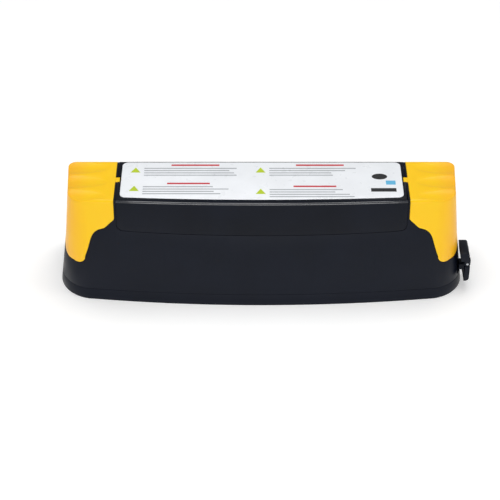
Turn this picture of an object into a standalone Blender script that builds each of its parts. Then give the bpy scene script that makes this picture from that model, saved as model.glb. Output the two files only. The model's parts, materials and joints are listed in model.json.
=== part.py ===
"""Folding parking lock, flap type, lowered.

A base bolted to the ground carries a black lower shell. A barrier flap, made of two yellow end
caps and a black centre cover, lies on it and stands up about a shaft along the top rear edge.
A gearmotor lifts it through a pinion, an idler and a sector gear.

Frame: +X along the length, the bowed front faces -Y, +Z up, origin on the ground under the
middle of the base. Sizes below are millimetres; MM turns them to metres.
"""
import math

import bmesh
import bpy
from mathutils import Matrix, Vector

MM = 0.001

# ---------------------------------------------------------------- driving dimensions (mm)
BASE_LENGTH = 427.0
HEIGHT = 118.0
BASE_DEPTH = 109.0
FRONT_LEAN = 20.5            # how far the front leans back from the ground to the top
REAR_LEAN = 9.5              # how far the rear leans in
FRONT_BOW_BASE = 9.2         # bow of the front at the ground, over BOW_REACH each way
FRONT_BOW_TOP = 5.5
BOW_REACH = 165.0
WALL = 3.0                   # moulded walls
GAP = 0.3                    # between pieces that touch
SPLIT = 0.5                  # visible joint between flap and shell
RIM_HEIGHT = 12.5            # base plate rim
FLOOR = 4.0                  # base plate floor thickness
END_RIM_DROP = 56.0          # from the top of the flap down to the top of the shell's end walls
END_FLARE = 7.2              # the end walls spread by this much from there to the ground
END_LEAN = 4.3               # and the caps' ends lean in by this much from there to the top
END_TAPER = 3.0              # the ends close in towards the front, at the top
FRONT_CORNER = 40.0          # at the ground
TOP_CORNER = 18.0            # at the top
LOBE_DROP = 75.4             # from the top of the flap down to the lowest point of the caps' lobes
LOBE_RADIUS = 9.2
REAR_CORNER = 8.0
TOP_ROUND = 3.5

HINGE_RADIUS = 9.0           # rolled rear edge of the flap
SHAFT_RADIUS = 5.0
SHAFT_FIT = 0.3
BUSH_WALL = 1.2

CAP_LENGTH = 51.0            # of each cap, at the top
COVER_DROP = 36.0            # from the top of the cover down to its lower edge
COVER_EDGE_RISE = 2.2
COVER_CORNER = 7.0
STRIP = 1.6                  # dark strip of the side frame between cover and cap
STRIP_GAP = 0.4
FRAME_THICK = 5.0            # side frame below the strip
LABEL_LENGTH = 290.0
LABEL_FRONT = 7.3            # black margin in front of the label, whose edge follows the bow
LABEL_REAR = 7.0             # from the rear edge of the top to the label
LABEL_CORNER = 6.0
LABEL_THICK = 0.8
LABEL_RECESS = 1.3
LABEL_FIT = 0.4              # gap round the label
TONGUE_REACH = 4.6           # how far the caps' tongues reach over the cover
TONGUE_Y = (4.0, 12.0)

MODULE = 1.5
SECTOR_TEETH = 32            # of a full wheel
IDLER_TEETH = 14
PINION_TEETH = 12
GEAR_X = 44.5                # middle of the gear plane
GEAR_WIDTH = 9.0
SECTOR_HUB = 7.2             # hub radius of the sector
IDLER_DROP = 11.4            # degrees below level, seen from the hinge
PINION_DIRECTION = 245.0     # degrees, idler to pinion in the YZ plane
FLAP_RANGE = 90.0
IDLER_AXLE_RADIUS = 3.0
PINION_SHAFT_RADIUS = 4.0
GEAR_PLATE = 2.0             # thickness of the gear plates
PLATE_CLEAR = 1.0            # between the gears and the plates

GEARHEAD_RADIUS = 16.0
GEARHEAD_LENGTH = 40.0
MOTOR_RADIUS = 14.5
MOTOR_LENGTH = 38.0

BATTERY = (118.0, 44.0, 40.0)
BATTERY_X = -82.0
KEY_SIZE = 5.0               # across flats
KEY_LONG = 154.0
KEY_SHORT = 33.0
KEY_FRONT = 20.5             # from the base's front edge to the stowed key
KEY_Z = 11.0
KEY_RIGHT = 10.0             # right end of the key's long arm
CLIP_WALL = 1.4
ANCHOR_END = 31.5            # from the base's ends to the anchor bolts
ANCHOR_FRONT = 34.5          # from the base's front and rear edges
ANCHOR_REAR = 22.5
ANCHOR_RADIUS = 4.0
SLEEVE_RADIUS = 6.5
SLEEVE_FLANGE = 3.0
SHELL_SCREW_X = (120.0, 130.0)     # front pair, rear pair
SHELL_SCREW_EDGE = (10.5, 8.5)     # from the base's front and rear edges
SCREW_RADIUS = 2.0
SCREW_HOLE = 2.3
SCREW_HEAD = 3.8
HEAD_DEPTH = 2.4
TAB = 9.0                    # width of the shell's screw bosses
BOARD_LOW = (96.0, -28.0, 24.0)
BOARD_HIGH = (142.0, 24.0, 25.6)
LEAD_RADIUS = 1.8
PORT_Y = -14.0
PORT_WIDTH = 24.0
PORT_PIVOT_Z = 32.0
PORT_PIVOT_OUT = 3.0         # the pivot's place outside the base's end
PORT_KNUCKLE = 3.0
PORT_PIN = 1.2
PORT_MIDDLE = 6.7            # half width of the cover's knuckle

# ---------------------------------------------------------------- places worked out from them
HINGE_Y = BASE_DEPTH / 2 - REAR_LEAN - HINGE_RADIUS
HINGE_Z = HEIGHT - HINGE_RADIUS
HINGE = (0.0, HINGE_Y, HINGE_Z)
END_RIM_Z = HEIGHT - END_RIM_DROP
LOBE_Z = HEIGHT - LOBE_DROP
COVER_LOWER_Z = HEIGHT - COVER_DROP
RIM_HALF = BASE_LENGTH / 2 - END_FLARE
TOP_HALF = RIM_HALF - END_LEAN
CAP_INNER = TOP_HALF - CAP_LENGTH
STRIP_X = CAP_INNER - STRIP_GAP - STRIP
COVER_HALF = STRIP_X - STRIP_GAP
TONGUE_X = CAP_INNER - TONGUE_REACH
END_ZONE_X = TOP_HALF - 7.0
ANCHORS = [(side * (BASE_LENGTH / 2 - ANCHOR_END), y) for side in (-1, 1)
           for y in (ANCHOR_FRONT - BASE_DEPTH / 2, BASE_DEPTH / 2 - ANCHOR_REAR)]
SHELL_SCREWS = [(side * SHELL_SCREW_X[1], BASE_DEPTH / 2 - SHELL_SCREW_EDGE[1]) for side in (-1, 1)]
SHELL_SCREWS += [(side * SHELL_SCREW_X[0], SHELL_SCREW_EDGE[0] - BASE_DEPTH / 2) for side in (-1, 1)]
KEY_YZ = (KEY_FRONT - BASE_DEPTH / 2, KEY_Z)
PLATE_IN_X = GEAR_X - GEAR_WIDTH / 2 - PLATE_CLEAR - GEAR_PLATE
PLATE_OUT_X = GEAR_X + GEAR_WIDTH / 2 + PLATE_CLEAR
BRACKET_FEET_X = (PLATE_IN_X - 7.0, PLATE_OUT_X + GEAR_PLATE + 7.0)
BRACKET_FEET_Y = (-15.0, 9.0)
GEARHEAD_X = PLATE_OUT_X + GEAR_PLATE + GAP
MOTOR_X = GEARHEAD_X + GEARHEAD_LENGTH + GAP
PORT_PIVOT_X = BASE_LENGTH / 2 + PORT_PIVOT_OUT
PORT_OUT = PORT_PIVOT_X + PORT_KNUCKLE
PORT_PLATE_LOW = PORT_PIVOT_X - PORT_KNUCKLE + 0.7
SECTOR_RADIUS = MODULE * SECTOR_TEETH / 2
IDLER_RADIUS = MODULE * IDLER_TEETH / 2
PINION_RADIUS = MODULE * PINION_TEETH / 2
IDLER_DIRECTION = 180.0 + IDLER_DROP


def polar(centre, radius, degrees):
    """Point at an angle round a centre, in a plane."""
    angle = math.radians(degrees)
    return (centre[0] + radius * math.cos(angle), centre[1] + radius * math.sin(angle))


IDLER_YZ = polar((HINGE_Y, HINGE_Z), SECTOR_RADIUS + IDLER_RADIUS, IDLER_DIRECTION)
PINION_YZ = polar(IDLER_YZ, IDLER_RADIUS + PINION_RADIUS, PINION_DIRECTION)
IDLER_PITCH = 360.0 / IDLER_TEETH
PINION_PITCH = 360.0 / PINION_TEETH
IDLER_PHASE = IDLER_DIRECTION + 180.0 + IDLER_PITCH / 2
IDLER_LEAD = ((PINION_DIRECTION - IDLER_PHASE) / IDLER_PITCH) % 1.0
PINION_PHASE = PINION_DIRECTION + 180.0 + (IDLER_LEAD + 0.5) * PINION_PITCH

# ---------------------------------------------------------------- scene and materials
for old in list(bpy.data.objects):
    bpy.data.objects.remove(old, do_unlink=True)

PARTS = bpy.data.collections.new("folding_parking_lock")
CUTTERS = bpy.data.collections.new("cutters")
bpy.context.scene.collection.children.link(PARTS)
bpy.context.scene.collection.children.link(CUTTERS)


def material(name, colour, roughness, metallic=0.0):
    """A Principled material."""
    mat = bpy.data.materials.new(name)
    mat.use_nodes = True
    shader = mat.node_tree.nodes["Principled BSDF"]
    shader.inputs["Base Color"].default_value = (*colour, 1.0)
    shader.inputs["Roughness"].default_value = roughness
    shader.inputs["Metallic"].default_value = metallic
    return mat


BLACK = material("black_plastic", (0.015, 0.017, 0.024), 0.4)
YELLOW = material("yellow_plastic", (0.93, 0.62, 0.02), 0.42)
LABEL = material("label_film", (0.86, 0.88, 0.9), 0.35)
STEEL = material("zinc_plated_steel", (0.55, 0.56, 0.58), 0.35, 1.0)
BLACK_STEEL = material("black_oxide_steel", (0.03, 0.03, 0.032), 0.4, 0.8)
GEAR_STEEL = material("gear_steel", (0.4, 0.4, 0.42), 0.3, 1.0)
BRONZE = material("sintered_bronze", (0.45, 0.26, 0.1), 0.45, 1.0)
ALUMINIUM = material("cast_aluminium", (0.6, 0.61, 0.63), 0.45, 1.0)
RUBBER = material("black_rubber", (0.02, 0.02, 0.02), 0.85)
BOARD = material("circuit_board", (0.02, 0.16, 0.06), 0.5)
BATTERY_FILM = material("battery_film", (0.02, 0.09, 0.3), 0.35)
GREY = material("grey_plastic", (0.16, 0.17, 0.18), 0.5)
RED_LEAD = material("lead_insulation", (0.5, 0.02, 0.02), 0.5)


# ---------------------------------------------------------------- modelling helpers
def add_mesh(name, mesh, mat):
    """Link a mesh as a named object."""
    obj = bpy.data.objects.new(name, mesh)
    PARTS.objects.link(obj)
    mesh.materials.clear()
    mesh.materials.append(mat)
    return obj


def from_bmesh(name, bm, mat):
    """Close a bmesh into an object, faces outward."""
    bmesh.ops.recalc_face_normals(bm, faces=bm.faces)
    mesh = bpy.data.meshes.new(name)
    bm.to_mesh(mesh)
    bm.free()
    return add_mesh(name, mesh, mat)


def box(name, low, high, mat):
    """Box between two corners, in mm."""
    size = [(b - a) * MM for a, b in zip(low, high)]
    middle = [(a + b) / 2 * MM for a, b in zip(low, high)]
    bm = bmesh.new()
    place = Matrix.Translation(middle) @ Matrix.Diagonal((*size, 1.0))
    bmesh.ops.create_cube(bm, size=1.0, matrix=place)
    return from_bmesh(name, bm, mat)


AXIS_TURN = {
    "X": Matrix.Rotation(math.radians(90), 4, "Y"),
    "Y": Matrix.Rotation(math.radians(-90), 4, "X"),
    "Z": Matrix.Identity(4),
}


def rod(name, start, axis, radius, length, mat, sides=32, end_radius=None):
    """Cylinder or cone from a start point along an axis, in mm."""
    bm = bmesh.new()
    bmesh.ops.create_cone(
        bm, cap_ends=True, segments=sides, radius1=radius * MM,
        radius2=(radius if end_radius is None else end_radius) * MM, depth=length * MM,
        matrix=Matrix.Translation((0, 0, length * MM / 2)))
    bm.transform(Matrix.Translation(Vector(start) * MM) @ AXIS_TURN[axis])
    return from_bmesh(name, bm, mat)


PLANE_TURN = {
    "XY": Matrix.Identity(4),
    "XZ": Matrix(((1, 0, 0, 0), (0, 0, -1, 0), (0, 1, 0, 0), (0, 0, 0, 1))),
    "YZ": Matrix(((0, 0, 1, 0), (1, 0, 0, 0), (0, 1, 0, 0), (0, 0, 0, 1))),
}


def mesh_of(curve_object, name, mat):
    """Turn a curve object into a welded mesh object and remove the curve."""
    bpy.context.view_layer.update()
    evaluated = curve_object.evaluated_get(bpy.context.evaluated_depsgraph_get())
    mesh = bpy.data.meshes.new_from_object(evaluated)
    mesh.transform(curve_object.matrix_world)
    bm = bmesh.new()
    bm.from_mesh(mesh)
    bmesh.ops.remove_doubles(bm, verts=bm.verts, dist=0.00001)
    bmesh.ops.recalc_face_normals(bm, faces=bm.faces)
    bm.to_mesh(mesh)
    bm.free()
    bpy.data.objects.remove(curve_object, do_unlink=True)
    return add_mesh(name, mesh, mat)


def prism(name, outlines, plane, low, high, mat):
    """Flat outline, with any further outlines as holes, extruded from low to high, in mm."""
    data = bpy.data.curves.new(name + "_outline", "CURVE")
    data.dimensions = "2D"
    data.fill_mode = "BOTH"
    data.extrude = (high - low) / 2 * MM
    for outline in outlines:
        spline = data.splines.new("POLY")
        spline.points.add(len(outline) - 1)
        for point, (u, v) in zip(spline.points, outline):
            point.co = (u * MM, v * MM, 0.0, 1.0)
        spline.use_cyclic_u = True
    obj = bpy.data.objects.new(name + "_outline", data)
    PARTS.objects.link(obj)
    middle = (low + high) / 2 * MM
    if plane == "XZ":
        middle = -middle
    obj.matrix_world = PLANE_TURN[plane] @ Matrix.Translation((0, 0, middle))
    return mesh_of(obj, name, mat)


def loft(name, rings, mat):
    """Closed solid through rings of equal count, given in mm."""
    bm = bmesh.new()
    rows = [[bm.verts.new(Vector(p) * MM) for p in ring] for ring in rings]
    count = len(rows[0])
    for lower, upper in zip(rows, rows[1:]):
        for i in range(count):
            j = (i + 1) % count
            bm.faces.new((lower[i], lower[j], upper[j], upper[i]))
    bm.faces.new(list(reversed(rows[0])))
    bm.faces.new(rows[-1])
    bmesh.ops.triangulate(bm, faces=bm.faces)
    return from_bmesh(name, bm, mat)


def wire(name, points, radius, mat, resolution=2):
    """Round tube on a smooth curve through points, in mm."""
    data = bpy.data.curves.new(name + "_path", "CURVE")
    data.dimensions = "3D"
    data.bevel_depth = radius * MM
    data.bevel_resolution = resolution
    data.use_fill_caps = True
    route = smooth(points)
    spline = data.splines.new("POLY")
    spline.points.add(len(route) - 1)
    for point, co in zip(spline.points, route):
        point.co = (*(Vector(co) * MM), 1.0)
    obj = bpy.data.objects.new(name + "_path", data)
    PARTS.objects.link(obj)
    return mesh_of(obj, name, mat)


def smooth(points, steps=6):
    """Catmull-Rom curve through the points."""
    path = [Vector(p) for p in points]
    padded = [path[0] * 2 - path[1]] + path + [path[-1] * 2 - path[-2]]
    route = []
    for i in range(1, len(padded) - 2):
        a, b, c, d = padded[i - 1:i + 3]
        for step in range(steps):
            t = step / steps
            route.append(0.5 * (2 * b + (c - a) * t + (2 * a - 5 * b + 4 * c - d) * t * t
                                + (3 * b - a - 3 * c + d) * t ** 3))
    route.append(path[-1])
    return route


def modify(obj, other, operation, solver="EXACT"):
    """Boolean of an object with a helper that is kept out of the build."""
    PARTS.objects.unlink(other)
    CUTTERS.objects.link(other)
    other.hide_render = True
    other.display_type = "WIRE"
    modifier = obj.modifiers.new(other.name, "BOOLEAN")
    modifier.operation = operation
    modifier.solver = solver
    modifier.object = other
    return obj


def cut(obj, other, solver="EXACT"):
    """Remove a helper's volume."""
    return modify(obj, other, "DIFFERENCE", solver)


def add(obj, other):
    """Join a helper's volume."""
    return modify(obj, other, "UNION")


def keep(obj, other):
    """Keep only what lies inside a helper."""
    return modify(obj, other, "INTERSECT")


def turned(name, profile, start, mat, sides=32, closed=False, axis="Z"):
    """Turned solid from (radius, height) points, bottom to top on the outside, in mm."""
    bm = bmesh.new()
    points = [bm.verts.new((r * MM, 0.0, h * MM)) for r, h in profile]
    pairs = list(zip(points, points[1:])) + ([(points[-1], points[0])] if closed else [])
    for a, b in pairs:
        bm.edges.new((a, b))
    mesh = bpy.data.meshes.new(name)
    bm.to_mesh(mesh)
    bm.free()
    obj = bpy.data.objects.new(name, mesh)
    PARTS.objects.link(obj)
    screw = obj.modifiers.new("turn", "SCREW")
    screw.steps = screw.render_steps = sides
    screw.use_merge_vertices = True
    screw.merge_threshold = 0.00001
    obj.matrix_world = Matrix.Translation(Vector(start) * MM) @ AXIS_TURN[axis]
    return mesh_of(obj, name, mat)


def numbered(name, pieces):
    """Name like pieces after what they are, with a number."""
    for number, piece in enumerate(pieces, 1):
        piece.name = f"{name}_{number}"
    return pieces


def group(name, pieces, mat):
    """Put separate solids in one helper."""
    bm = bmesh.new()
    for piece in pieces:
        bm.from_mesh(piece.data)
        bpy.data.objects.remove(piece, do_unlink=True)
    mesh = bpy.data.meshes.new(name)
    bm.to_mesh(mesh)
    bm.free()
    return add_mesh(name, mesh, mat)


def ring(name, start, axis, outer, inner, length, mat, sides=32):
    """Plain ring or bush along X, Y or Z."""
    planes = {"X": "YZ", "Y": "XZ", "Z": "XY"}
    centre = {"X": (start[1], start[2]), "Y": (start[0], start[2]), "Z": (start[0], start[1])}[axis]
    low = start["XYZ".index(axis)]
    outlines = [circle(centre, outer, sides), circle(centre, inner, sides)]
    return prism(name, outlines, planes[axis], low, low + length, mat)


def circle(centre, radius, sides=32):
    """Points of a circle."""
    return [polar(centre, radius, 360.0 * i / sides) for i in range(sides)]


def arc(centre, radius, start, end, steps):
    """Points of an arc, both ends included."""
    return [polar(centre, radius, start + (end - start) * i / steps) for i in range(steps + 1)]


# ---------------------------------------------------------------- outer form
def front_y(z, x=0.0):
    """Bowed and leaning front face."""
    rise = z / HEIGHT
    bow = FRONT_BOW_BASE + (FRONT_BOW_TOP - FRONT_BOW_BASE) * rise
    return -BASE_DEPTH / 2 + FRONT_LEAN * rise + bow * (x / BOW_REACH) ** 2


def rear_y(z):
    """Straight leaning rear face."""
    return BASE_DEPTH / 2 - REAR_LEAN * z / HEIGHT


def half_length(z):
    """Half length: flared towards the ground below the shell's end walls' top."""
    if z < END_RIM_Z:
        return BASE_LENGTH / 2 + (RIM_HALF - BASE_LENGTH / 2) * z / END_RIM_Z
    return RIM_HALF + (TOP_HALF - RIM_HALF) * (z - END_RIM_Z) / (HEIGHT - END_RIM_Z)


def plan(z, inset=0.0, back=None, round_in=0.0):
    """Plan outline at a height: bowed front, rounded corners, straight ends and rear."""
    inward = inset + round_in
    rise = min(z / HEIGHT, 1.0)
    radius = FRONT_CORNER + (TOP_CORNER - FRONT_CORNER) * rise - inward
    rear_radius = max(REAR_CORNER - inset, 2.0)
    rear_half = half_length(z) - inward
    front_half = rear_half - END_TAPER * rise
    reach = front_half - radius
    back_y = (rear_y(z) if back is None else back) - inset
    points = []
    for i in range(11):
        x = reach * (i / 5 - 1)
        points.append((x, front_y(z, x) + inward, z))
    corner_y = front_y(z, reach) + inward + radius
    turn = arc((reach, corner_y), radius, -78, 0, 5)
    turn += arc((rear_half - rear_radius, back_y - rear_radius), rear_radius, 0, 90, 3)
    right = [(*p, z) for p in turn]
    return points + right + [(-x, y, z) for x, y, z in reversed(right)]


def envelope(name, heights, mat, inset=0.0):
    """Solid through plan outlines at several heights."""
    return loft(name, [plan(z, inset) for z in heights], mat)


def flap_back(z):
    """Rear limit of the flap: rolled round the hinge."""
    lift = max(z - HINGE_Z, 0.0)
    return HINGE_Y + math.sqrt(max(HINGE_RADIUS ** 2 - lift ** 2, 0.0))


def cap_outline(grow=0.0, end=BASE_LENGTH):
    """Front view of the right cap's region: inner edge, shelf, S-curve and lobe, out to an end."""
    x, z = CAP_INNER, HEIGHT
    shelf = [(x - grow, z + 20), (x - grow, z - 18.0), (x + 4.6 - grow, z - 25.0)]
    shelf += arc((x + 10.4, z - 26.8), 6.0 + grow, 200, 262, 3)
    curve = [(x + 17.4, z - 34.1 - grow), (x + 21.4, z - 37.4 - grow), (x + 24.4 - grow, z - 42.6),
             (x + 26.8 - grow, z - 50.0), (x + 29.2 - grow, z - 58.2), (x + 31.6 - grow, z - 65.0)]
    lobe = arc((x + 41.2, LOBE_Z + LOBE_RADIUS), LOBE_RADIUS + grow, 200, 270, 5)
    return shelf + curve + lobe + [(end, LOBE_Z - grow), (end, z + 20)]


def end_prism(name, side, level, back, grow=0.0):
    """Part of the end above or below the rising line where cap and shell meet, out to a level."""
    line = [(-BASE_DEPTH * 1.1, LOBE_Z + 0.2), (-25.0, LOBE_Z + 0.4), (-19.0, LOBE_Z + 3.0),
            (-11.0, LOBE_Z + 9.5), (-4.0, END_RIM_Z - 4.0), (2.0, END_RIM_Z - 1.0),
            (10.0, END_RIM_Z), (back, END_RIM_Z)]
    zone = [(-BASE_DEPTH * 1.1, level)] + [(y, z - grow) for y, z in line] + [(back, level)]
    low, high = sorted((side * END_ZONE_X, side * BASE_LENGTH * 1.1))
    return prism(name, [zone], "YZ", low, high, BLACK)


def mirrored(points, side):
    """Outline on the right (side 1) or left (side -1)."""
    return points if side > 0 else [(-u, v) for u, v in reversed(points)]


def cover_lower_edge(drop=0.0, half=COVER_HALF):
    """Front view of the cover's region, with a slightly arched lower edge and round corners."""
    corner = COVER_CORNER
    edge = []
    for i in range(7):
        x = (half - corner) * (1 - i / 3)
        edge.append((x, COVER_LOWER_Z - drop + COVER_EDGE_RISE * (x / half) ** 2))
    z = COVER_LOWER_Z + COVER_EDGE_RISE - drop + corner
    right = arc((half - corner, z), corner, 0, -70, 4)
    left = [(-x, y) for x, y in reversed(right)]
    return [(half, HEIGHT + 20)] + right + edge[1:-1] + left + [(-half, HEIGHT + 20)]


# ---------------------------------------------------------------- base plate and lower shell
def base_plate():
    """Tray that is bolted to the ground."""
    plate = envelope("base_plate", (0.0, RIM_HEIGHT), BLACK)
    inside = envelope("base_plate_inside", (FLOOR, RIM_HEIGHT + 5.0), BLACK, inset=WALL)
    screw_bosses(inside, FLOOR - 1.0, RIM_HEIGHT + 10.0)
    cut(plate, inside)
    holes = [rod("hole", (x, y, -5.0), "Z", SLEEVE_RADIUS + GAP, FLOOR + 10.0, BLACK, 24)
             for x, y in ANCHORS]
    sink = SCREW_HEAD + 0.4
    shoulder = HEAD_DEPTH + 0.5
    profile = [(0.0, -5.0), (sink, -5.0), (sink, shoulder), (SCREW_HOLE, shoulder), (SCREW_HOLE, 20.0),
               (0.0, 20.0)]
    holes += [turned("hole", profile, (x, y, 0.0), BLACK, 16) for x, y in SHELL_SCREWS]
    cut(plate, group("base_plate_holes", holes, BLACK))
    return plate


def anchor_sleeves():
    """Steel sleeves that take the anchor bolts' clamping force."""
    bore = ANCHOR_RADIUS + 0.5
    flange = SLEEVE_RADIUS + SLEEVE_FLANGE
    seat = FLOOR + GAP
    profile = [(bore, 0.2), (SLEEVE_RADIUS, 0.2), (SLEEVE_RADIUS, seat), (flange, seat),
               (flange, seat + 2.0), (bore, seat + 2.0)]
    sleeves = [turned("sleeve", profile, (x, y, 0.0), STEEL, 24, closed=True) for x, y in ANCHORS]
    return numbered("anchor_sleeve", sleeves)


def shell_screws():
    """Screws from below that hold the shell to the base plate."""
    top = RIM_HEIGHT + 5.0
    profile = [(0.0, 0.3), (SCREW_HEAD - 0.6, 0.3), (SCREW_HEAD, 0.9), (SCREW_HEAD, HEAD_DEPTH),
               (SCREW_RADIUS, HEAD_DEPTH), (SCREW_RADIUS, top - 1.0), (SCREW_RADIUS - 0.8, top), (0.0, top)]
    screws = [turned("screw", profile, (x, y, 0.0), STEEL, 16) for x, y in SHELL_SCREWS]
    return numbered("shell_screw", screws)


def screw_bosses(hollow, low, high):
    """Leave a boss round each shell screw when a hollow is cut."""
    blocks = []
    for x, y in SHELL_SCREWS:
        near, far = sorted((y - math.copysign(TAB / 2, y), math.copysign(BASE_DEPTH, y)))
        blocks.append(box("boss", (x - TAB / 2, near, low), (x + TAB / 2, far, high), BLACK))
    cut(hollow, group("screw_bosses", blocks, BLACK))


def lower_shell():
    """Black shell: bowed front, flared ends, rear wall, and a horn beside each cap."""
    low = RIM_HEIGHT + GAP
    shell = envelope("lower_shell", (low, END_RIM_Z, HEIGHT - 0.5), BLACK)
    inside = envelope("lower_shell_inside", (low - 5.0, END_RIM_Z, HEIGHT + 5.0), BLACK, inset=WALL)
    screw_bosses(inside, low - 6.0, low + TAB)
    cut(shell, inside)
    flap_rear = HINGE_Y - 1.0 + SPLIT
    cut(shell, prism("cover_region", [cover_lower_edge(SPLIT, STRIP_X)], "XZ", -BASE_DEPTH, flap_rear, BLACK))
    outline = cap_outline(SPLIT, END_ZONE_X + 1.0)
    faces = [prism("region", [mirrored(outline, side)], "XZ", -BASE_DEPTH, flap_rear, BLACK)
             for side in (1, -1)]
    cut(shell, group("cap_regions", faces, BLACK))
    ends = [end_prism("region", side, HEIGHT + 30.0, flap_rear + 0.3, SPLIT) for side in (1, -1)]
    cut(shell, group("end_regions", ends, BLACK), "MANIFOLD")
    wall_top = HINGE_Z - 4.0
    cut(shell, box("above_rear_wall", (-BASE_LENGTH, flap_rear - 5.0, wall_top),
                   (BASE_LENGTH, BASE_DEPTH, HEIGHT + 20), BLACK))
    cut(shell, rod("hinge_room", (-BASE_LENGTH, HINGE_Y, HINGE_Z), "X", HINGE_RADIUS + 0.7,
                   2 * BASE_LENGTH, BLACK, 36))
    depth = low + TAB - 2.0
    holes = [rod("hole", (x, y, 0.0), "Z", SCREW_HOLE, depth, BLACK, 16) for x, y in SHELL_SCREWS]
    cut(shell, group("shell_screw_holes", holes, BLACK))
    port = box("port_opening", (BASE_LENGTH / 2 - 20.0, PORT_Y - 7.0, 15.5),
               (BASE_LENGTH / 2 + 20.0, PORT_Y + 7.0, 28.5), BLACK)
    cut(shell, port)
    return shell


# ---------------------------------------------------------------- barrier flap
def barrel_section(front_limit, top=HEIGHT):
    """Section of the rolled rear edge: skin, roll round the hinge, and bore for the shaft."""
    centre = (HINGE_Y, HINGE_Z)
    outer = arc(centre, HINGE_RADIUS, 90, -150, 10)
    bore = arc(centre, SHAFT_RADIUS + SHAFT_FIT, -150, 110, 13)
    under = top - WALL
    return [(front_limit, top)] + outer + bore + [(HINGE_Y - 6.0, under), (front_limit, under)]


def cover_section(x):
    """Section of the centre cover at a place along its length, as points in space."""
    bottom = COVER_LOWER_Z - 2.0
    face = front_y(HEIGHT, x)
    lean = front_y(bottom, x)
    lean_back = 0.3 - FRONT_LEAN * 2.4 / HEIGHT
    shoulder = [(face + lean_back, HEIGHT - 2.2), (face + 0.9, HEIGHT - 0.6), (face + 2.2, HEIGHT)]
    section = [(lean, bottom)] + shoulder + barrel_section(0.0)[1:-1]
    under = HEIGHT - WALL
    section += [(face + WALL + 0.8, under), (face + WALL, under - 1.5), (lean + WALL, bottom)]
    return [(x, y, z) for y, z in section]


def centre_cover():
    """Black cover between the caps, with a recess for the label."""
    steps = 12
    stations = [COVER_HALF * (2 * i / steps - 1) for i in range(steps + 1)]
    cover = loft("centre_cover", [cover_section(x) for x in stations], BLACK)
    keep(cover, prism("cover_outline", [cover_lower_edge()], "XZ", -BASE_DEPTH, BASE_DEPTH, BLACK))
    recess = label_outline(LABEL_FIT)
    cut(cover, prism("label_recess", [recess], "XY", HEIGHT - LABEL_RECESS, HEIGHT + 5, BLACK))
    for side in (1, -1):
        near = sorted((side * (TONGUE_X - 0.5), side * (COVER_HALF + 5)))
        cut(cover, box("tongue_notch", (near[0], TONGUE_Y[0] - 0.6, HEIGHT - 10),
                       (near[1], TONGUE_Y[1] + 0.6, HEIGHT + 10), BLACK))
    half = GEAR_WIDTH / 2 + 1.0
    room = SECTOR_HUB + 0.4
    slot = [(HINGE_Y - 16.0, HINGE_Z - 14.0), (HINGE_Y + room, HINGE_Z - 14.0)]
    slot += arc((HINGE_Y, HINGE_Z), room, 0, 120, 8)
    slot += [(HINGE_Y - 16.0, HINGE_Z + 4.0)]
    cut(cover, prism("sector_slot", [slot], "YZ", GEAR_X - half, GEAR_X + half, BLACK))
    return cover


def label_outline(grow=0.0):
    """Plan of the label: its front edge follows the bow, and its corners are round."""
    half = LABEL_LENGTH / 2 + grow
    back = rear_y(HEIGHT) - LABEL_REAR + grow
    radius = LABEL_CORNER + grow
    reach = half - radius
    xs = [reach * (i / 5 - 1) for i in range(11)]
    front = [(x, front_y(HEIGHT, x) + LABEL_FRONT - grow) for x in xs]
    right = arc((reach, front[-1][1] + radius), radius, -80, 0, 3)
    right += arc((reach, back - radius), radius, 0, 90, 3)
    return front + right + [(-x, y) for x, y in reversed(right)]


def label_plate():
    """Thin printed plate in the cover's recess."""
    base = HEIGHT - LABEL_RECESS + GAP
    return prism("label_plate", [label_outline()], "XY", base, base + LABEL_THICK, LABEL)


def cap(name, side):
    """Yellow end cap: a hollow shell with the rolled rear edge, a tongue and a lobed skirt."""
    top = HEIGHT
    heights = [LOBE_Z - 10.6, END_RIM_Z, HINGE_Z, top - TOP_ROUND, top - 1.0, top]
    tuck = [0.0, 0.0, 0.0, 0.0, 1.0, TOP_ROUND]
    rings = [plan(z, back=flap_back(z), round_in=t) for z, t in zip(heights, tuck)]
    shell = loft(name, rings, YELLOW)
    inner = [(LOBE_Z - 17.6, 0.0), (END_RIM_Z, 0.0), (top - WALL - 2.0, 0.0), (top - WALL, 2.0)]
    rings = [plan(z, WALL, HINGE_Y + HINGE_RADIUS, t) for z, t in inner]
    hollow = loft(name + "_hollow", rings, YELLOW)
    low, high = sorted((side * (CAP_INNER - 20.0), side * (TOP_HALF + 20.0)))
    centre = (HINGE_Y, HINGE_Z)
    cut(hollow, prism(name + "_barrel", [circle(centre, HINGE_RADIUS, 36)], "YZ", low, high, YELLOW))
    cut(shell, hollow)
    rear = HINGE_Y - 1.0
    room = [(rear, 0.0), (BASE_DEPTH, 0.0), (BASE_DEPTH, HINGE_Z)] + arc(centre, HINGE_RADIUS, 0, -90, 8)
    room += [(rear, HINGE_Z - HINGE_RADIUS)]
    cut(shell, prism(name + "_rear_room", [room], "YZ", -BASE_LENGTH, BASE_LENGTH, YELLOW))
    blind = TOP_HALF - WALL
    bore = SHAFT_RADIUS + SHAFT_FIT
    cut(shell, rod(name + "_bore", (-blind, HINGE_Y, HINGE_Z), "X", bore, 2 * blind, YELLOW))
    outline = mirrored(cap_outline(), side)
    keep(shell, prism(name + "_region", [outline], "XZ", -BASE_DEPTH, BASE_DEPTH, YELLOW))
    cut(shell, end_prism(name + "_end_zone", side, 0.0, BASE_DEPTH), "MANIFOLD")
    low, high = sorted((side * TONGUE_X, side * (CAP_INNER + 4.0)))
    add(shell, box(name + "_tongue", (low, TONGUE_Y[0], HEIGHT - WALL - 0.6),
                   (high, TONGUE_Y[1], HEIGHT - 0.4), YELLOW))
    return shell


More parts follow.
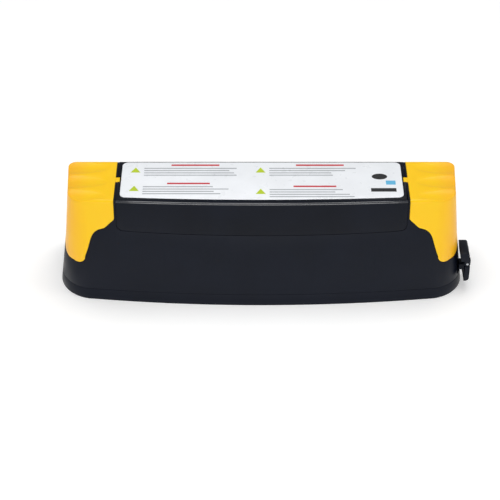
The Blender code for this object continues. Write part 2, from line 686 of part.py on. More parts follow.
# ---------------------------------------------------------------- frames, shaft and stiffeners
def side_frame(name, side):
    """Upright that carries the shaft, with the dark strip seen between cover and cap."""
    floor = FLOOR + GAP
    waist = HEIGHT - 6.0
    middle = STRIP_X + STRIP / 2
    low, high = sorted((side * (middle - FRAME_THICK / 2), side * (middle + FRAME_THICK / 2)))
    front_low = front_y(floor, middle) + WALL + 0.7
    front_top = front_y(waist, middle) + WALL + 0.7
    clear = HINGE_Y - HINGE_RADIUS - 2.0
    web = [(front_low, floor), (HINGE_Y + 2.0, floor), (HINGE_Y + 2.0, HINGE_Z - 21.0),
           (clear, HINGE_Z - 11.0), (clear, waist), (front_top, waist)]
    bend, lintel = HINGE_Z - 47.0, HINGE_Z - 33.0
    window = [(-20.0, 22.0), (20.0, 22.0), (20.0, bend), (10.0, lintel), (-12.0, lintel), (-20.0, bend)]
    frame = prism(name, [web, window], "YZ", low, high, BLACK)
    low, high = sorted((side * STRIP_X, side * (STRIP_X + STRIP)))
    top = HEIGHT - 0.4
    strip_front = front_y(top, middle) + WALL + 0.7
    roll = arc((HINGE_Y, HINGE_Z), HINGE_RADIUS - 0.4, 90, -60, 8)
    near, far = TONGUE_Y[0] - 0.8, TONGUE_Y[1] + 1.2
    sink = HEIGHT - WALL - 1.4
    notch = [(near, top), (near, sink), (far, sink), (far, top)]
    root = HINGE_Z - 24.0
    under = [(HINGE_Y - 2.0, root), (clear - 8.0, root), (clear - 8.0, waist - 6.0)]
    strip = [(strip_front, waist - 6.0), (strip_front, top)] + notch + roll + under
    add(frame, prism(name + "_strip", [strip], "YZ", low, high, BLACK))
    bore = SHAFT_RADIUS + SHAFT_FIT + BUSH_WALL + GAP
    cut(frame, rod(name + "_bore", (side * middle - 5.0, HINGE_Y, HINGE_Z), "X", bore, 10.0, BLACK))
    return frame


def hinge_bushes():
    """Bronze bushes of the shaft, one in each side frame."""
    middle = STRIP_X + STRIP / 2
    bore = SHAFT_RADIUS + SHAFT_FIT
    rings = []
    for side in (1, -1):
        start = (side * middle - STRIP / 2 - 0.1, HINGE_Y, HINGE_Z)
        rings.append(ring("bush", start, "X", bore + BUSH_WALL, bore, STRIP + 0.2, BRONZE))
    return numbered("hinge_bush", rings)


def frame_screws():
    """Screws through the feet of the stands into the base plate's floor."""
    profile = [(0.0, 0.0), (3.4, 0.0), (3.4, 1.6), (2.2, 2.6), (0.0, 2.6)]
    places = [(x, y) for x in BRACKET_FEET_X for y in BRACKET_FEET_Y]
    seat = FLOOR + GAP + GEAR_PLATE + GAP
    screws = [turned("screw", profile, (x, y, seat), STEEL, 16) for x, y in places]
    return numbered("bracket_screw", screws)


def cover_stiffeners():
    """Steel channels under the cover, one on each side of the gears."""
    top = HEIGHT - WALL - GAP
    front, rear, sheet, lip = -24.0, 22.0, 1.6, 8.0
    outline = [(front, top), (front, top - lip), (front + sheet, top - lip), (front + sheet, top - sheet),
               (rear - sheet, top - sheet), (rear - sheet, top - lip), (rear, top - lip), (rear, top)]
    end = COVER_HALF - 5.6
    room = GEAR_WIDTH / 2 + 7.5
    spans = ((-end, GEAR_X - room), (GEAR_X + room, end))
    channels = []
    for low, high in spans:
        channels.append(prism("channel", [outline], "YZ", low, high, STEEL))
    return numbered("cover_stiffener", channels)


def rubber_bumpers():
    """Pads on the side frames on which the cover rests."""
    middle = STRIP_X + STRIP / 2
    low_z = HEIGHT - 6.0 + GAP
    pads = []
    for side in (1, -1):
        inner = side * (middle - FRAME_THICK / 2)
        low, high = sorted((inner, side * (STRIP_X - GAP)))
        pads.append(box("pad", (low, -20.0, low_z), (high, -6.0, HEIGHT - WALL - GAP), RUBBER))
    return numbered("rubber_bumper", pads)


# ---------------------------------------------------------------- gears and drive
TOOTH_FLANKS = ((-0.27, -1.2), (-0.20, 0.0), (-0.10, 0.85), (0.10, 0.85), (0.20, 0.0), (0.27, -1.2))


def tooth_points(centre, teeth, phase, first, last):
    """Outline of teeth first to last; phase is the direction of tooth 0, in degrees."""
    pitch = 360.0 / teeth
    radius = MODULE * teeth / 2
    points = []
    for i in range(first, last):
        middle = phase + i * pitch
        for offset, lift in TOOTH_FLANKS:
            points.append(polar(centre, radius + lift * MODULE, middle + offset * pitch))
    return points


def spur_gear(name, centre, teeth, phase, bore, mat):
    """Whole spur gear in the gear plane."""
    outlines = [tooth_points(centre, teeth, phase, 0, teeth), circle(centre, bore, 24)]
    return prism(name, outlines, "YZ", GEAR_X - GEAR_WIDTH / 2, GEAR_X + GEAR_WIDTH / 2, mat)


def sector_gear():
    """Sector on the hinge shaft: its hub and the teeth that meet the idler over the flap's range."""
    centre = (HINGE_Y, HINGE_Z)
    pitch = 360.0 / SECTOR_TEETH
    count = math.ceil(FLAP_RANGE / pitch) + 1
    teeth = tooth_points(centre, SECTOR_TEETH, IDLER_DIRECTION, 0, count)
    start = IDLER_DIRECTION + (count - 1) * pitch + 30.0
    hub = arc(centre, SECTOR_HUB, start, IDLER_DIRECTION + 360.0 - 30.0, 12)
    outlines = [teeth + hub, circle(centre, SHAFT_RADIUS + SHAFT_FIT, 32)]
    return prism("sector_gear", outlines, "YZ", GEAR_X - GEAR_WIDTH / 2, GEAR_X + GEAR_WIDTH / 2, GEAR_STEEL)


def gear_plate(name, low):
    """Steel plate beside the gears, with a foot on the base plate."""
    floor = FLOOR + 2 * GAP
    y, z = IDLER_YZ
    py, pz = PINION_YZ
    outline = [(-22.0, floor), (16.0, floor), (16.0, HINGE_Z - 29.0), (y + 11.0, z), (y + 8.0, z + 10.0),
               (y - 8.0, z + 10.0), (py - 14.0, pz + 4.0), (py - 14.0, pz - 8.0), (-22.0, pz - 34.5)]
    window = [(-14.0, 16.0), (8.0, 16.0), (8.0, pz - 28.5), (-14.0, pz - 28.5)]
    holes = [circle(IDLER_YZ, IDLER_AXLE_RADIUS + GAP, 24), circle(PINION_YZ, PINION_SHAFT_RADIUS + GAP, 24)]
    return prism(name, [outline, window] + holes, "YZ", low, low + GEAR_PLATE, STEEL)


def with_foot(plate, low_x, high_x):
    """Give a gear plate its turned-out foot."""
    floor = FLOOR + GAP
    foot = box(plate.name + "_foot", (low_x, -20.0, floor), (high_x, 14.0, floor + GEAR_PLATE), STEEL)
    return add(plate, foot)


def motor_cradle():
    """Moulded stand under the gearhead, with a half-round seat."""
    y, z = PINION_YZ
    floor = FLOOR + GAP
    seat = arc((y, z), GEARHEAD_RADIUS + GAP, -160, -20, 12)
    foot, waist = floor + 4.0, floor + 10.0
    horn = (GEARHEAD_RADIUS + 2.5, z - 5.6)
    outline = [(y - 20.0, floor), (y + 20.0, floor), (y + 20.0, foot), (y + 12.0, waist)]
    outline += [(y + horn[0], horn[1])]
    outline += list(reversed(seat))
    outline += [(y - horn[0], horn[1]), (y - 12.0, waist), (y - 20.0, foot)]
    lintel = z - GEARHEAD_RADIUS - 10.5
    window = [(y - 7.0, 14.0), (y + 7.0, 14.0), (y + 9.0, lintel), (y - 9.0, lintel)]
    return prism("motor_cradle", [outline, window], "YZ", GEARHEAD_X + 12.0, GEARHEAD_X + 36.0, GREY)


def drive():
    """Motor, gearhead, shafts and circlip."""
    y, z = PINION_YZ
    head = [(0.0, 0.0), (GEARHEAD_RADIUS - 1.0, 0.0), (GEARHEAD_RADIUS, 1.0),
            (GEARHEAD_RADIUS, GEARHEAD_LENGTH), (0.0, GEARHEAD_LENGTH)]
    gearhead = turned("gearhead", head, (GEARHEAD_X, y, z), ALUMINIUM, 40, axis="X")
    can = [(0.0, 0.0), (MOTOR_RADIUS, 0.0), (MOTOR_RADIUS, MOTOR_LENGTH - 2.0),
           (MOTOR_RADIUS - 2.0, MOTOR_LENGTH), (0.0, MOTOR_LENGTH)]
    motor = turned("motor", can, (MOTOR_X, y, z), BLACK_STEEL, 40, axis="X")
    start = PLATE_IN_X - 2.0
    reach = GEARHEAD_X - GAP - start
    shaft = rod("output_shaft", (start, y, z), "X", PINION_SHAFT_RADIUS, reach, STEEL, 24)
    axle = rod("idler_axle", (start - 1.0, *IDLER_YZ), "X", IDLER_AXLE_RADIUS, reach + 1.0, STEEL, 24)
    groove = IDLER_AXLE_RADIUS + GAP
    clip = ring("axle_circlip", (PLATE_IN_X - 1.5, *IDLER_YZ), "X", groove + 1.9, groove, 1.1, STEEL, 24)
    return gearhead, motor, shaft, axle, clip


# ---------------------------------------------------------------- battery, board, key and port
def battery_bay():
    """Battery with its tray and strap."""
    length, width, height = BATTERY
    floor = FLOOR + GAP
    base = floor + WALL
    half = width / 2
    tray = box("battery_tray", (BATTERY_X - length / 2 - 4.0, -half - 3.5, floor),
               (BATTERY_X + length / 2 + 4.0, half + 3.5, base + 16.0), GREY)
    cut(tray, box("tray_room", (BATTERY_X - length / 2 - 1.0, -half - 0.5, base),
                  (BATTERY_X + length / 2 + 1.0, half + 0.5, base + 60.0), GREY))
    pack = box("battery_pack", (BATTERY_X - length / 2, -half, base + GAP),
               (BATTERY_X + length / 2, half, base + GAP + height), BATTERY_FILM)
    bevel = pack.modifiers.new("bevel", "BEVEL")
    bevel.width = 2.0 * MM
    bevel.segments = 2
    inner = half + 3.5 + GAP
    under = base + GAP + height + GAP
    outline = [(-inner - 10.0, floor), (-inner, floor), (-inner, under), (inner, under), (inner, floor),
               (inner + 10.0, floor), (inner + 10.0, floor + 1.5), (inner + 1.5, floor + 1.5),
               (inner + 1.5, under + 1.5), (-inner - 1.5, under + 1.5), (-inner - 1.5, floor + 1.5),
               (-inner - 10.0, floor + 1.5)]
    strap = prism("battery_strap", [outline], "YZ", BATTERY_X - 10.0, BATTERY_X + 10.0, STEEL)
    return tray, pack, strap


def control_board():
    """Circuit board with its parts, and its standoffs."""
    board = box("control_board", BOARD_LOW, BOARD_HIGH, BOARD)
    top = BOARD_HIGH[2]
    sink = 0.4
    parts = [("relay", (100, -24, 112, -8, 13)), ("relay", (100, -5, 112, 11, 13)),
             ("chip", (118, -2, 130, 10, 3)), ("terminal", (134, -26, 141, -2, 9)),
             ("terminal", (100, 15, 122, 22, 9))]
    for name, (x0, y0, x1, y1, tall) in parts:
        add(board, box("board_" + name, (x0, y0, top - sink), (x1, y1, top + tall), BOARD))
    add(board, rod("board_capacitor", (124.0, -14.0, top - sink), "Z", 5.5, 16.0, BOARD, 20))
    floor = FLOOR + GAP
    under = BOARD_LOW[2] - GAP
    rails = [box("rail", (BOARD_LOW[0], y - 2.0, floor), (BOARD_HIGH[0], y + 2.0, under), GREY)
             for y in (BOARD_LOW[1] + 4.0, BOARD_HIGH[1] - 4.0)]
    return [board] + numbered("board_rail", rails)


def small_electrics():
    """Radio module, buzzer and the two limit switches."""
    floor = FLOOR + GAP
    radio = box("radio_module", (-196.0, -6.0, floor), (-164.0, 16.0, floor + 12.0), GREY)
    can = [(0.0, 0.0), (11.0, 0.0), (11.0, 8.0), (10.0, 9.0), (2.5, 9.0), (2.5, 7.0), (0.0, 7.0)]
    buzzer = turned("buzzer", can, (6.0, 0.0, floor), BLACK_STEEL, 24)
    face = PLATE_IN_X - GAP
    switches = [box("switch", (face - 6.4, -12.0, z), (face, 8.0, z + 10.0), BLACK_STEEL)
                for z in (PINION_YZ[1] - 34.5, PINION_YZ[1] - 20.5)]
    return [radio, buzzer] + numbered("limit_switch", switches)


def hex_key():
    """Hexagon key stowed along the front, short arm up."""
    radius = KEY_SIZE / math.sqrt(3)
    bend = KEY_SIZE * 1.6
    y, z = KEY_YZ
    left = KEY_RIGHT - KEY_LONG + KEY_SIZE / 2
    stations = [(KEY_RIGHT, z, 0.0)]
    for angle in range(0, 91, 15):
        x, up = polar((left + bend, z + bend), bend, 270 - angle)
        stations.append((x, up, angle))
    stations.append((left, z + KEY_SHORT - KEY_SIZE / 2, 90.0))
    rings = []
    for x, up, angle in stations:
        rise = math.radians(angle)
        ring_points = []
        for i in range(6):
            side, lift = polar((0.0, 0.0), radius, 60 * i + 30)
            ring_points.append((x + lift * math.sin(rise), y + side, up + lift * math.cos(rise)))
        rings.append(ring_points)
    return loft("hex_key", rings, BLACK_STEEL)


def key_clips():
    """Spring clips that hold the key."""
    y, z = KEY_YZ
    grip = KEY_SIZE / math.sqrt(3) + GAP
    outer = arc((y, z), grip + CLIP_WALL, 140, 400, 10)
    inner = arc((y, z), grip, 400, 140, 10)
    clips = []
    for x in (-115.0, -15.0):
        clip = prism("clip", [outer + inner], "YZ", x - 4.0, x + 4.0, GREY)
        foot = box("clip_foot", (x - 4.0, y - 3.0, FLOOR + GAP), (x + 4.0, y + 3.0, z - grip - 0.5), GREY)
        clips.append(add(clip, foot))
    return numbered("key_clip", clips)


def port():
    """Charging port on the right end: socket, hinge block, pin and flip-up cover."""
    y0, y1 = PORT_Y - PORT_WIDTH / 2, PORT_Y + PORT_WIDTH / 2
    centre = (PORT_PIVOT_X, PORT_PIVOT_Z)
    above = PORT_PIVOT_Z + PORT_KNUCKLE + 0.6
    top = above + 10.5
    block_outline = [(half_length(above) + GAP, above), (PORT_OUT - 1.5, above), (PORT_OUT - 1.5, top - 3.0),
                     (PORT_OUT - 4.5, top), (half_length(top) + GAP, top)]
    block = prism("port_hinge_block", [block_outline], "XZ", y0, y1, BLACK)
    for low, high in ((y0, PORT_Y - PORT_MIDDLE - GAP), (PORT_Y + PORT_MIDDLE + GAP, y1)):
        lug = arc(centre, PORT_KNUCKLE, 180, 360, 8)
        lug += [(PORT_OUT, above + 2.0), (PORT_PIVOT_X - PORT_KNUCKLE, above + 2.0)]
        add(block, prism("port_lug", [lug], "XZ", low, high, BLACK))
    through = ((PORT_PIVOT_X, y0 - 5.0, PORT_PIVOT_Z), "Y", PORT_PIN + GAP, PORT_WIDTH + 10.0, BLACK, 16)
    cut(block, rod("pin_hole", *through))
    pin = rod("port_pin", (PORT_PIVOT_X, y0, PORT_PIVOT_Z), "Y", PORT_PIN, PORT_WIDTH, STEEL, 16)
    plate_top = PORT_PIVOT_Z - PORT_KNUCKLE - 0.7
    low_z = 9.5
    plate = [(PORT_PLATE_LOW, low_z), (PORT_OUT - 3.2, low_z), (PORT_OUT, low_z + 4.0), (PORT_OUT, plate_top),
             (PORT_PLATE_LOW, plate_top)]
    cover = prism("charge_port_cover", [plate], "XZ", y0, y1, BLACK)
    knuckle = arc(centre, PORT_KNUCKLE, 0, 180, 8)
    knuckle += [(PORT_PIVOT_X - PORT_KNUCKLE, plate_top - 2.0), (PORT_OUT, plate_top - 2.0)]
    middle = (PORT_Y - PORT_MIDDLE, PORT_Y + PORT_MIDDLE)
    add(cover, prism("port_knuckle", [knuckle], "XZ", *middle, BLACK))
    plug_low = (PORT_PLATE_LOW - 5.5, PORT_Y - 5.5, 19.5)
    add(cover, box("port_plug", plug_low, (PORT_PLATE_LOW + 1.0, PORT_Y + 5.5, 26.5), BLACK))
    cut(cover, rod("pin_hole", *through))
    face = half_length(15.0) - WALL - 2.5
    jack = [(0.0, 0.0), (5.6, 0.0), (5.6, 16.0), (3.4, 16.0), (3.4, 4.0), (1.2, 4.0), (1.2, 13.0),
            (0.0, 13.0)]
    socket = turned("charge_socket", jack, (face - 16.0, PORT_Y, 22.0), BLACK_STEEL, 20, axis="X")
    return block, pin, cover, socket


def leads():
    """Leads clipped inside the housing."""
    right_end = BATTERY_X + BATTERY[0] / 2 + 6.0
    battery = [(right_end, 8.0, 36.0), (-5.0, 16.0, 34.0), (18.0, 24.0, 26.0), (50.0, 26.5, 20.0),
               (84.0, 24.0, 28.0), (98.5, 18.5, 31.0)]
    y, z = PINION_YZ
    can_end = MOTOR_X + MOTOR_LENGTH
    motor = [(can_end + 0.6, y, z), (can_end + 4.0, y, z - 0.5), (138.5, y, z - 9.0), (139.0, y - 2.0, 60.0),
             (137.5, -12.0, 44.0), (137.5, -14.0, 35.2)]
    face = half_length(15.0) - WALL - 2.5
    socket = [(face - 17.0, PORT_Y, 22.0), (face - 22.0, PORT_Y, 22.2), (174.0, -12.0, 28.0),
              (162.0, -8.0, 33.0), (152.0, -6.0, 33.0), (146.0, -6.0, 31.1), (141.5, -6.0, 31.0)]
    routes = (("battery_leads", battery), ("motor_leads", motor), ("socket_leads", socket))
    return [wire(name, route, LEAD_RADIUS, RED_LEAD) for name, route in routes]


# ---------------------------------------------------------------- assembly
def hang(name, origin, pieces):
    """Parent moving pieces to an empty on their joint's axis."""
    empty = bpy.data.objects.new(name, None)
    PARTS.objects.link(empty)
    empty.location = Vector(origin) * MM
    for piece in pieces:
        piece.data.transform(Matrix.Translation(-empty.location))
        piece.parent = empty
    return empty


def build():
    """Make every piece and put the moving ones on their axes."""
    base_plate()
    anchor_sleeves()
    lower_shell()
    shell_screws()
    side_frame("side_frame_right", 1)
    side_frame("side_frame_left", -1)
    hinge_bushes()
    with_foot(gear_plate("gear_plate_inner", PLATE_IN_X), PLATE_IN_X - 14.0, PLATE_IN_X + 1.0)
    with_foot(gear_plate("gear_plate_outer", PLATE_OUT_X), PLATE_OUT_X + 1.0, PLATE_OUT_X + 12.0)
    frame_screws()
    rubber_bumpers()
    motor_cradle()
    gearhead, motor, output_shaft, axle, clip = drive()
    battery_bay()
    control_board()
    small_electrics()
    hex_key()
    key_clips()
    block, pin, port_cover, socket = port()
    leads()
    shaft_half = TOP_HALF - WALL - 2.0
    start = (-shaft_half, HINGE_Y, HINGE_Z)
    hinge_shaft = rod("hinge_shaft", start, "X", SHAFT_RADIUS, 2 * shaft_half, STEEL)
    flap = [hinge_shaft, centre_cover(), cap("cap_right", 1), cap("cap_left", -1), label_plate(),
            sector_gear()]
    flap += cover_stiffeners()
    hang("barrier_flap_axis", HINGE, flap)
    bore = IDLER_AXLE_RADIUS + GAP
    idler = spur_gear("idler_gear", IDLER_YZ, IDLER_TEETH, IDLER_PHASE, bore, GEAR_STEEL)
    hang("idler_axis", (GEAR_X, *IDLER_YZ), [idler])
    bore = PINION_SHAFT_RADIUS + GAP
    pinion = spur_gear("drive_pinion", PINION_YZ, PINION_TEETH, PINION_PHASE, bore, GEAR_STEEL)
    hang("pinion_axis", (GEAR_X, *PINION_YZ), [pinion, output_shaft])
    hang("port_axis", (PORT_PIVOT_X, PORT_Y, PORT_PIVOT_Z), [port_cover])


build()
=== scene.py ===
"""Folding parking lock, flap type: the finished look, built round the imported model.

The housing, its base, the barrier flap and the charging port are made again with fine curves and
rounded edges. The drive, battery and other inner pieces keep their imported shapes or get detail.
Shapes are worked out in millimetres and made in metres: +X along the length, front towards -Y.
"""
import json
import math

import bmesh
import bpy
from bpy.props import FloatProperty, FloatVectorProperty, IntProperty, PointerProperty
from mathutils import Matrix, Vector


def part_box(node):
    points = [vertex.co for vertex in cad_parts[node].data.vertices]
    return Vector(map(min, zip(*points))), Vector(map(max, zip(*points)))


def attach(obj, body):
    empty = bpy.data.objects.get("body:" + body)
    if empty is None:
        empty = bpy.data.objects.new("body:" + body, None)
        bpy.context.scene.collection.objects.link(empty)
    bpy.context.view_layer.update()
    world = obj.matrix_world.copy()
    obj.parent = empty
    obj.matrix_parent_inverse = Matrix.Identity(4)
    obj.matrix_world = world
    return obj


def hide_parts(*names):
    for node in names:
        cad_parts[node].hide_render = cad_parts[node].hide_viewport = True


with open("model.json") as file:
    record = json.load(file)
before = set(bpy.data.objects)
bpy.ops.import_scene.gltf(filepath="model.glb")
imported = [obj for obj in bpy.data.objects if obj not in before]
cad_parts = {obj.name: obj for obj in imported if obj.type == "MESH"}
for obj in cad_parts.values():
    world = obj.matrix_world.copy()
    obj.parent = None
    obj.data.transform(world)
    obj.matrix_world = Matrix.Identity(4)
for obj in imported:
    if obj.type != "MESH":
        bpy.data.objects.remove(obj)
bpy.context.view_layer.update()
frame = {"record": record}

bl_info = {
    "name": "Parking lock",
    "version": (1, 0, 0),
    "blender": (4, 5, 0),
    "location": "View3D > Sidebar > Parking lock",
    "description": "Makes the finished look of a flap-type parking lock and its stage",
    "category": "Object",
}

MM = 0.001


def lowest(node):
    """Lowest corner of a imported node, in mm."""
    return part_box(node)[0] / MM


def highest(node):
    """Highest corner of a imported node, in mm."""
    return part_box(node)[1] / MM


# ---------------------------------------------------------------- sizes of the form (mm)
HEIGHT = highest("centre_cover").z
BASE_LENGTH = 2 * highest("base_plate").x
BASE_DEPTH = 2 * highest("base_plate").y
RIM_HEIGHT = highest("base_plate").z
SHELL_LOW = lowest("lower_shell").z
COVER_HALF = highest("centre_cover").x
COVER_LOWER_Z = lowest("centre_cover").z
HINGE_Y = (lowest("hinge_shaft").y + highest("hinge_shaft").y) / 2
HINGE_Z = (lowest("hinge_shaft").z + highest("hinge_shaft").z) / 2
HINGE_RADIUS = HEIGHT - HINGE_Z
SHAFT_RADIUS = highest("hinge_shaft").z - HINGE_Z
SHAFT_FIT = 0.3
STRIP_X = highest("centre_cover").x + 0.4
CAP_INNER = STRIP_X + 2.0
TONGUE_X = lowest("cap_right").x
TONGUE_Y = (4.0, 12.0)
TOP_HALF = 202.0
RIM_HALF = 206.3
END_RIM_Z = 62.0
FRONT_LEAN = 20.5
REAR_LEAN = 9.5
FRONT_BOW_BASE = 9.2
FRONT_BOW_TOP = 5.5
BOW_REACH = 165.0
WALL = 3.0
GAP = 0.3
SPLIT = 0.5
FLOOR = 4.0
END_TAPER = 3.0
FRONT_CORNER = 40.0
TOP_CORNER = 18.0
REAR_CORNER = 8.0
LOBE_Z = 42.6
TOP_ROUND = 3.5
COVER_EDGE_RISE = 2.2
END_ZONE_X = 195.0
SLEEVE_FLANGE = 3.0          # how far a sleeve's flange stands out past its tube
ANCHORS = [(x, y) for x in (-182.0, 182.0) for y in (-20.0, 32.0)]
SHELL_SCREWS = [(-130.0, 46.0), (130.0, 46.0), (-120.0, -44.0), (120.0, -44.0)]
SCREW_HEAD = 3.8
HEAD_DEPTH = 2.4
SCREW_HOLE = 2.3
TAB = 9.0
SECTOR_HUB = 7.2
LABEL_FRONT = 7.3            # black margin in front of the label
LABEL_CORNER = 6.0
LABEL_RECESS = 1.3
PORT_HOLE_HALF = 7.0         # half width of the opening behind the port's cover
PORT_HOLE_Z = (15.5, 28.5)
PLUG_HALF = 5.5
PLUG_Z = (19.5, 26.5)
PORT_KNUCKLE = 3.0
PORT_PIN_HOLE = 1.5
PORT_TAB_HALF = 6.7          # half width of the cover's knuckle
OVER = 20.0                  # how far a cutting shape stands out past what it cuts
FAR = 500.0                  # well outside the object


def linear(code):
    """Linear colour of an sRGB hex value."""
    parts = [int(code[i:i + 2], 16) / 255 for i in (1, 3, 5)]
    return tuple(c / 12.92 if c <= 0.04045 else ((c + 0.055) / 1.055) ** 2.4 for c in parts)


def colour_prop(name, code, description):
    """A colour that a user may change."""
    return FloatVectorProperty(name=name, description=description, subtype="COLOR", size=3, min=0.0, max=1.0,
                               default=linear(code))


def length_prop(name, size, description):
    """A length in metres that a user may change."""
    return FloatProperty(name=name, description=description, subtype="DISTANCE", unit="LENGTH", default=size,
                         min=0.0, precision=5)


class LockSizes(bpy.types.PropertyGroup):
    """Sizes of the fine shape."""
    edge_round: length_prop("Edge round", 0.0004, "Rounding of the moulded pieces' edges")
    shoulder: length_prop("Shoulder", 0.0022, "Radius where the cover's front meets its top")
    terrace_depth: length_prop("Terrace depth", 0.0021, "Depth of each hollow in the caps' tops")
    terrace_pitch: length_prop("Terrace pitch", 0.0245, "Distance from one hollow to the next")
    terraces: IntProperty(name="Terraces", description="Hollows in each cap's top", default=3, min=0, max=6)
    ink: length_prop("Ink", 0.00004, "Thickness of the print on the label")
    print_rows: IntProperty(name="Print rows", description="Lines of plain bars in each block",
                            default=4, min=1, max=8)


class LockColours(bpy.types.PropertyGroup):
    """Colours of the main finishes."""
    black: colour_prop("Black ABS", "#0F1420", "Housing, base and cover")
    yellow: colour_prop("Yellow ABS", "#FBC802", "End caps")
    # painted shade: an orange-yellow blended onto the caps' outer ends, where their walls turn away from the
    # light and look darker and warmer
    painted_end_shade: colour_prop("Amber", "#F7B61C", "The caps where the moulding is thickest")
    label: colour_prop("Label film", "#F1F4F8", "Label")
    red: colour_prop("Red ink", "#C8323C", "Heading bars")
    grey: colour_prop("Grey ink", "#A3A7AC", "Line bars")
    lime: colour_prop("Lime ink", "#B9CF1C", "Triangles")
    blue: colour_prop("Blue ink", "#5FB4DC", "Square mark")


class LockStage(bpy.types.PropertyGroup):
    """Camera and light."""
    lens: FloatProperty(name="Lens", description="Focal length", subtype="DISTANCE_CAMERA", default=112.3,
                        min=10.0)
    distance: length_prop("Distance", 1.670, "From the camera to the point it looks at")
    pitch: FloatProperty(name="Pitch", description="How far the camera looks down", subtype="ANGLE",
                         unit="ROTATION", default=math.radians(39.0))
    key_power: FloatProperty(name="Key light", description="Power of the softbox overhead", subtype="POWER",
                             default=9.0, min=0.0)
    fill_power: FloatProperty(name="Fill light", description="Power of each side panel", subtype="POWER",
                              default=1.5, min=0.0)
    front_power: FloatProperty(name="Front light", description="Power of the panel in front", subtype="POWER",
                               default=9.0, min=0.0)


# ---------------------------------------------------------------- outlines
def polar(centre, radius, degrees):
    """Point at an angle round a centre, in a plane."""
    angle = math.radians(degrees)
    return (centre[0] + radius * math.cos(angle), centre[1] + radius * math.sin(angle))


def arc(centre, radius, start, end, steps):
    """Points of an arc, both ends included."""
    return [polar(centre, radius, start + (end - start) * i / steps) for i in range(steps + 1)]


def circle(centre, radius, sides=64):
    """Points of a circle."""
    return [polar(centre, radius, 360.0 * i / sides) for i in range(sides)]


def smooth_curve(points, steps=6):
    """Catmull-Rom curve through points of any dimension."""
    path = [Vector(p) for p in points]
    padded = [path[0] * 2 - path[1]] + path + [path[-1] * 2 - path[-2]]
    route = []
    for i in range(1, len(padded) - 2):
        a, b, c, d = padded[i - 1:i + 3]
        for step in range(steps):
            t = step / steps
            route.append(0.5 * (2 * b + (c - a) * t + (2 * a - 5 * b + 4 * c - d) * t * t
                                + (3 * b - a - 3 * c + d) * t ** 3))
    return [tuple(p) for p in route] + [tuple(path[-1])]


def front_y(z, x=0.0):
    """Bowed and leaning front face."""
    rise = z / HEIGHT
    bow = FRONT_BOW_BASE + (FRONT_BOW_TOP - FRONT_BOW_BASE) * rise
    return -BASE_DEPTH / 2 + FRONT_LEAN * rise + bow * (x / BOW_REACH) ** 2


def rear_y(z):
    """Straight leaning rear face."""
    return BASE_DEPTH / 2 - REAR_LEAN * z / HEIGHT


def half_length(z):
    """Half length, flared towards the ground below the end walls' top."""
    if z < END_RIM_Z:
        return BASE_LENGTH / 2 + (RIM_HALF - BASE_LENGTH / 2) * z / END_RIM_Z
    return RIM_HALF + (TOP_HALF - RIM_HALF) * (z - END_RIM_Z) / (HEIGHT - END_RIM_Z)


def plan(z, inset=0.0, back=None, round_in=0.0, bow_steps=40, corner_steps=20):
    """Plan outline at a height: bowed front, rounded corners, straight ends and rear."""
    inward = inset + round_in
    rise = min(z / HEIGHT, 1.0)
    radius = FRONT_CORNER + (TOP_CORNER - FRONT_CORNER) * rise - inward
    rear_radius = max(REAR_CORNER - inset, 2.0)
    rear_half = half_length(z) - inward
    reach = rear_half - END_TAPER * rise - radius
    back_y = (rear_y(z) if back is None else back) - inset
    points = []
    for i in range(2 * bow_steps + 1):
        x = reach * (i / bow_steps - 1)
        points.append((x, front_y(z, x) + inward, z))
    corner_y = front_y(z, reach) + inward + radius
    turn = arc((reach, corner_y), radius, -78, 0, corner_steps)
    turn += arc((rear_half - rear_radius, back_y - rear_radius), rear_radius, 0, 90, 8)
    right = [(*p, z) for p in turn]
    return points + right + [(-x, y, z) for x, y, z in reversed(right)]


def flap_back(z):
    """Rear limit of the flap: rolled round the hinge."""
    lift = max(z - HINGE_Z, 0.0)
    return HINGE_Y + math.sqrt(max(HINGE_RADIUS ** 2 - lift ** 2, 0.0))


def cap_outline(side, grow=0.0, end=BASE_LENGTH):
    """Front view of a cap's region: straight inner edge, shelf, S-curve and lobe."""
    inner = CAP_INNER - grow
    shelf = [(inner, HEIGHT + 20), (inner, 100.0)]
    bend = [(inner, 97.5), (152.8 - grow, 95.1), (155.6 - grow, 92.4), (158.8, 89.0 - grow)]
    shelf += smooth_curve(bend, 4)
    run = [(161.4, 86.6 - grow), (164.8, 85.4 - grow), (168.4, 83.9 - grow), (172.4, 80.6 - grow),
           (175.4 - grow, 75.4), (177.8 - grow, 68.0), (180.2 - grow, 59.8), (182.6 - grow, 53.0),
           (183.6 - grow, 49.6)]
    lobe = arc((192.2, LOBE_Z + 9.2), 9.2 + grow, 200, 270, 12)
    points = shelf + smooth_curve(run, 5)[:-1] + lobe + [(end, LOBE_Z - grow), (end, HEIGHT + 20)]
    return points if side > 0 else [(-u, v) for u, v in reversed(points)]


def cover_outline(drop=0.0, half=COVER_HALF):
    """Front view of the cover's region: slightly arched lower edge and round corners."""
    corner = 7.0
    steps = 24
    edge = []
    for i in range(2 * steps + 1):
        x = (half - corner) * (1 - i / steps)
        edge.append((x, COVER_LOWER_Z - drop + COVER_EDGE_RISE * (x / half) ** 2))
    z = COVER_LOWER_Z + COVER_EDGE_RISE - drop + corner
    right = arc((half - corner, z), corner, 0, -70, 10)
    left = [(-x, y) for x, y in reversed(right)]
    return [(half, HEIGHT + 20)] + right + edge[1:-1] + left + [(-half, HEIGHT + 20)]


def label_outline(grow=0.0):
    """Plan of the label: bowed front edge, round corners."""
    half = highest("label_plate").x + grow
    back = highest("label_plate").y + grow
    radius = LABEL_CORNER + grow
    steps = 20
    front = []
    for i in range(2 * steps + 1):
        x = (half - radius) * (i / steps - 1)
        front.append((x, front_y(HEIGHT, x) + LABEL_FRONT - grow))
    corner_y = front[-1][1] + radius
    right = arc((half - radius, corner_y), radius, -84, 0, 8)
    right += arc((half - radius, back - radius), radius, 0, 90, 8)
    return front + right + [(-x, y) for x, y in reversed(right)]


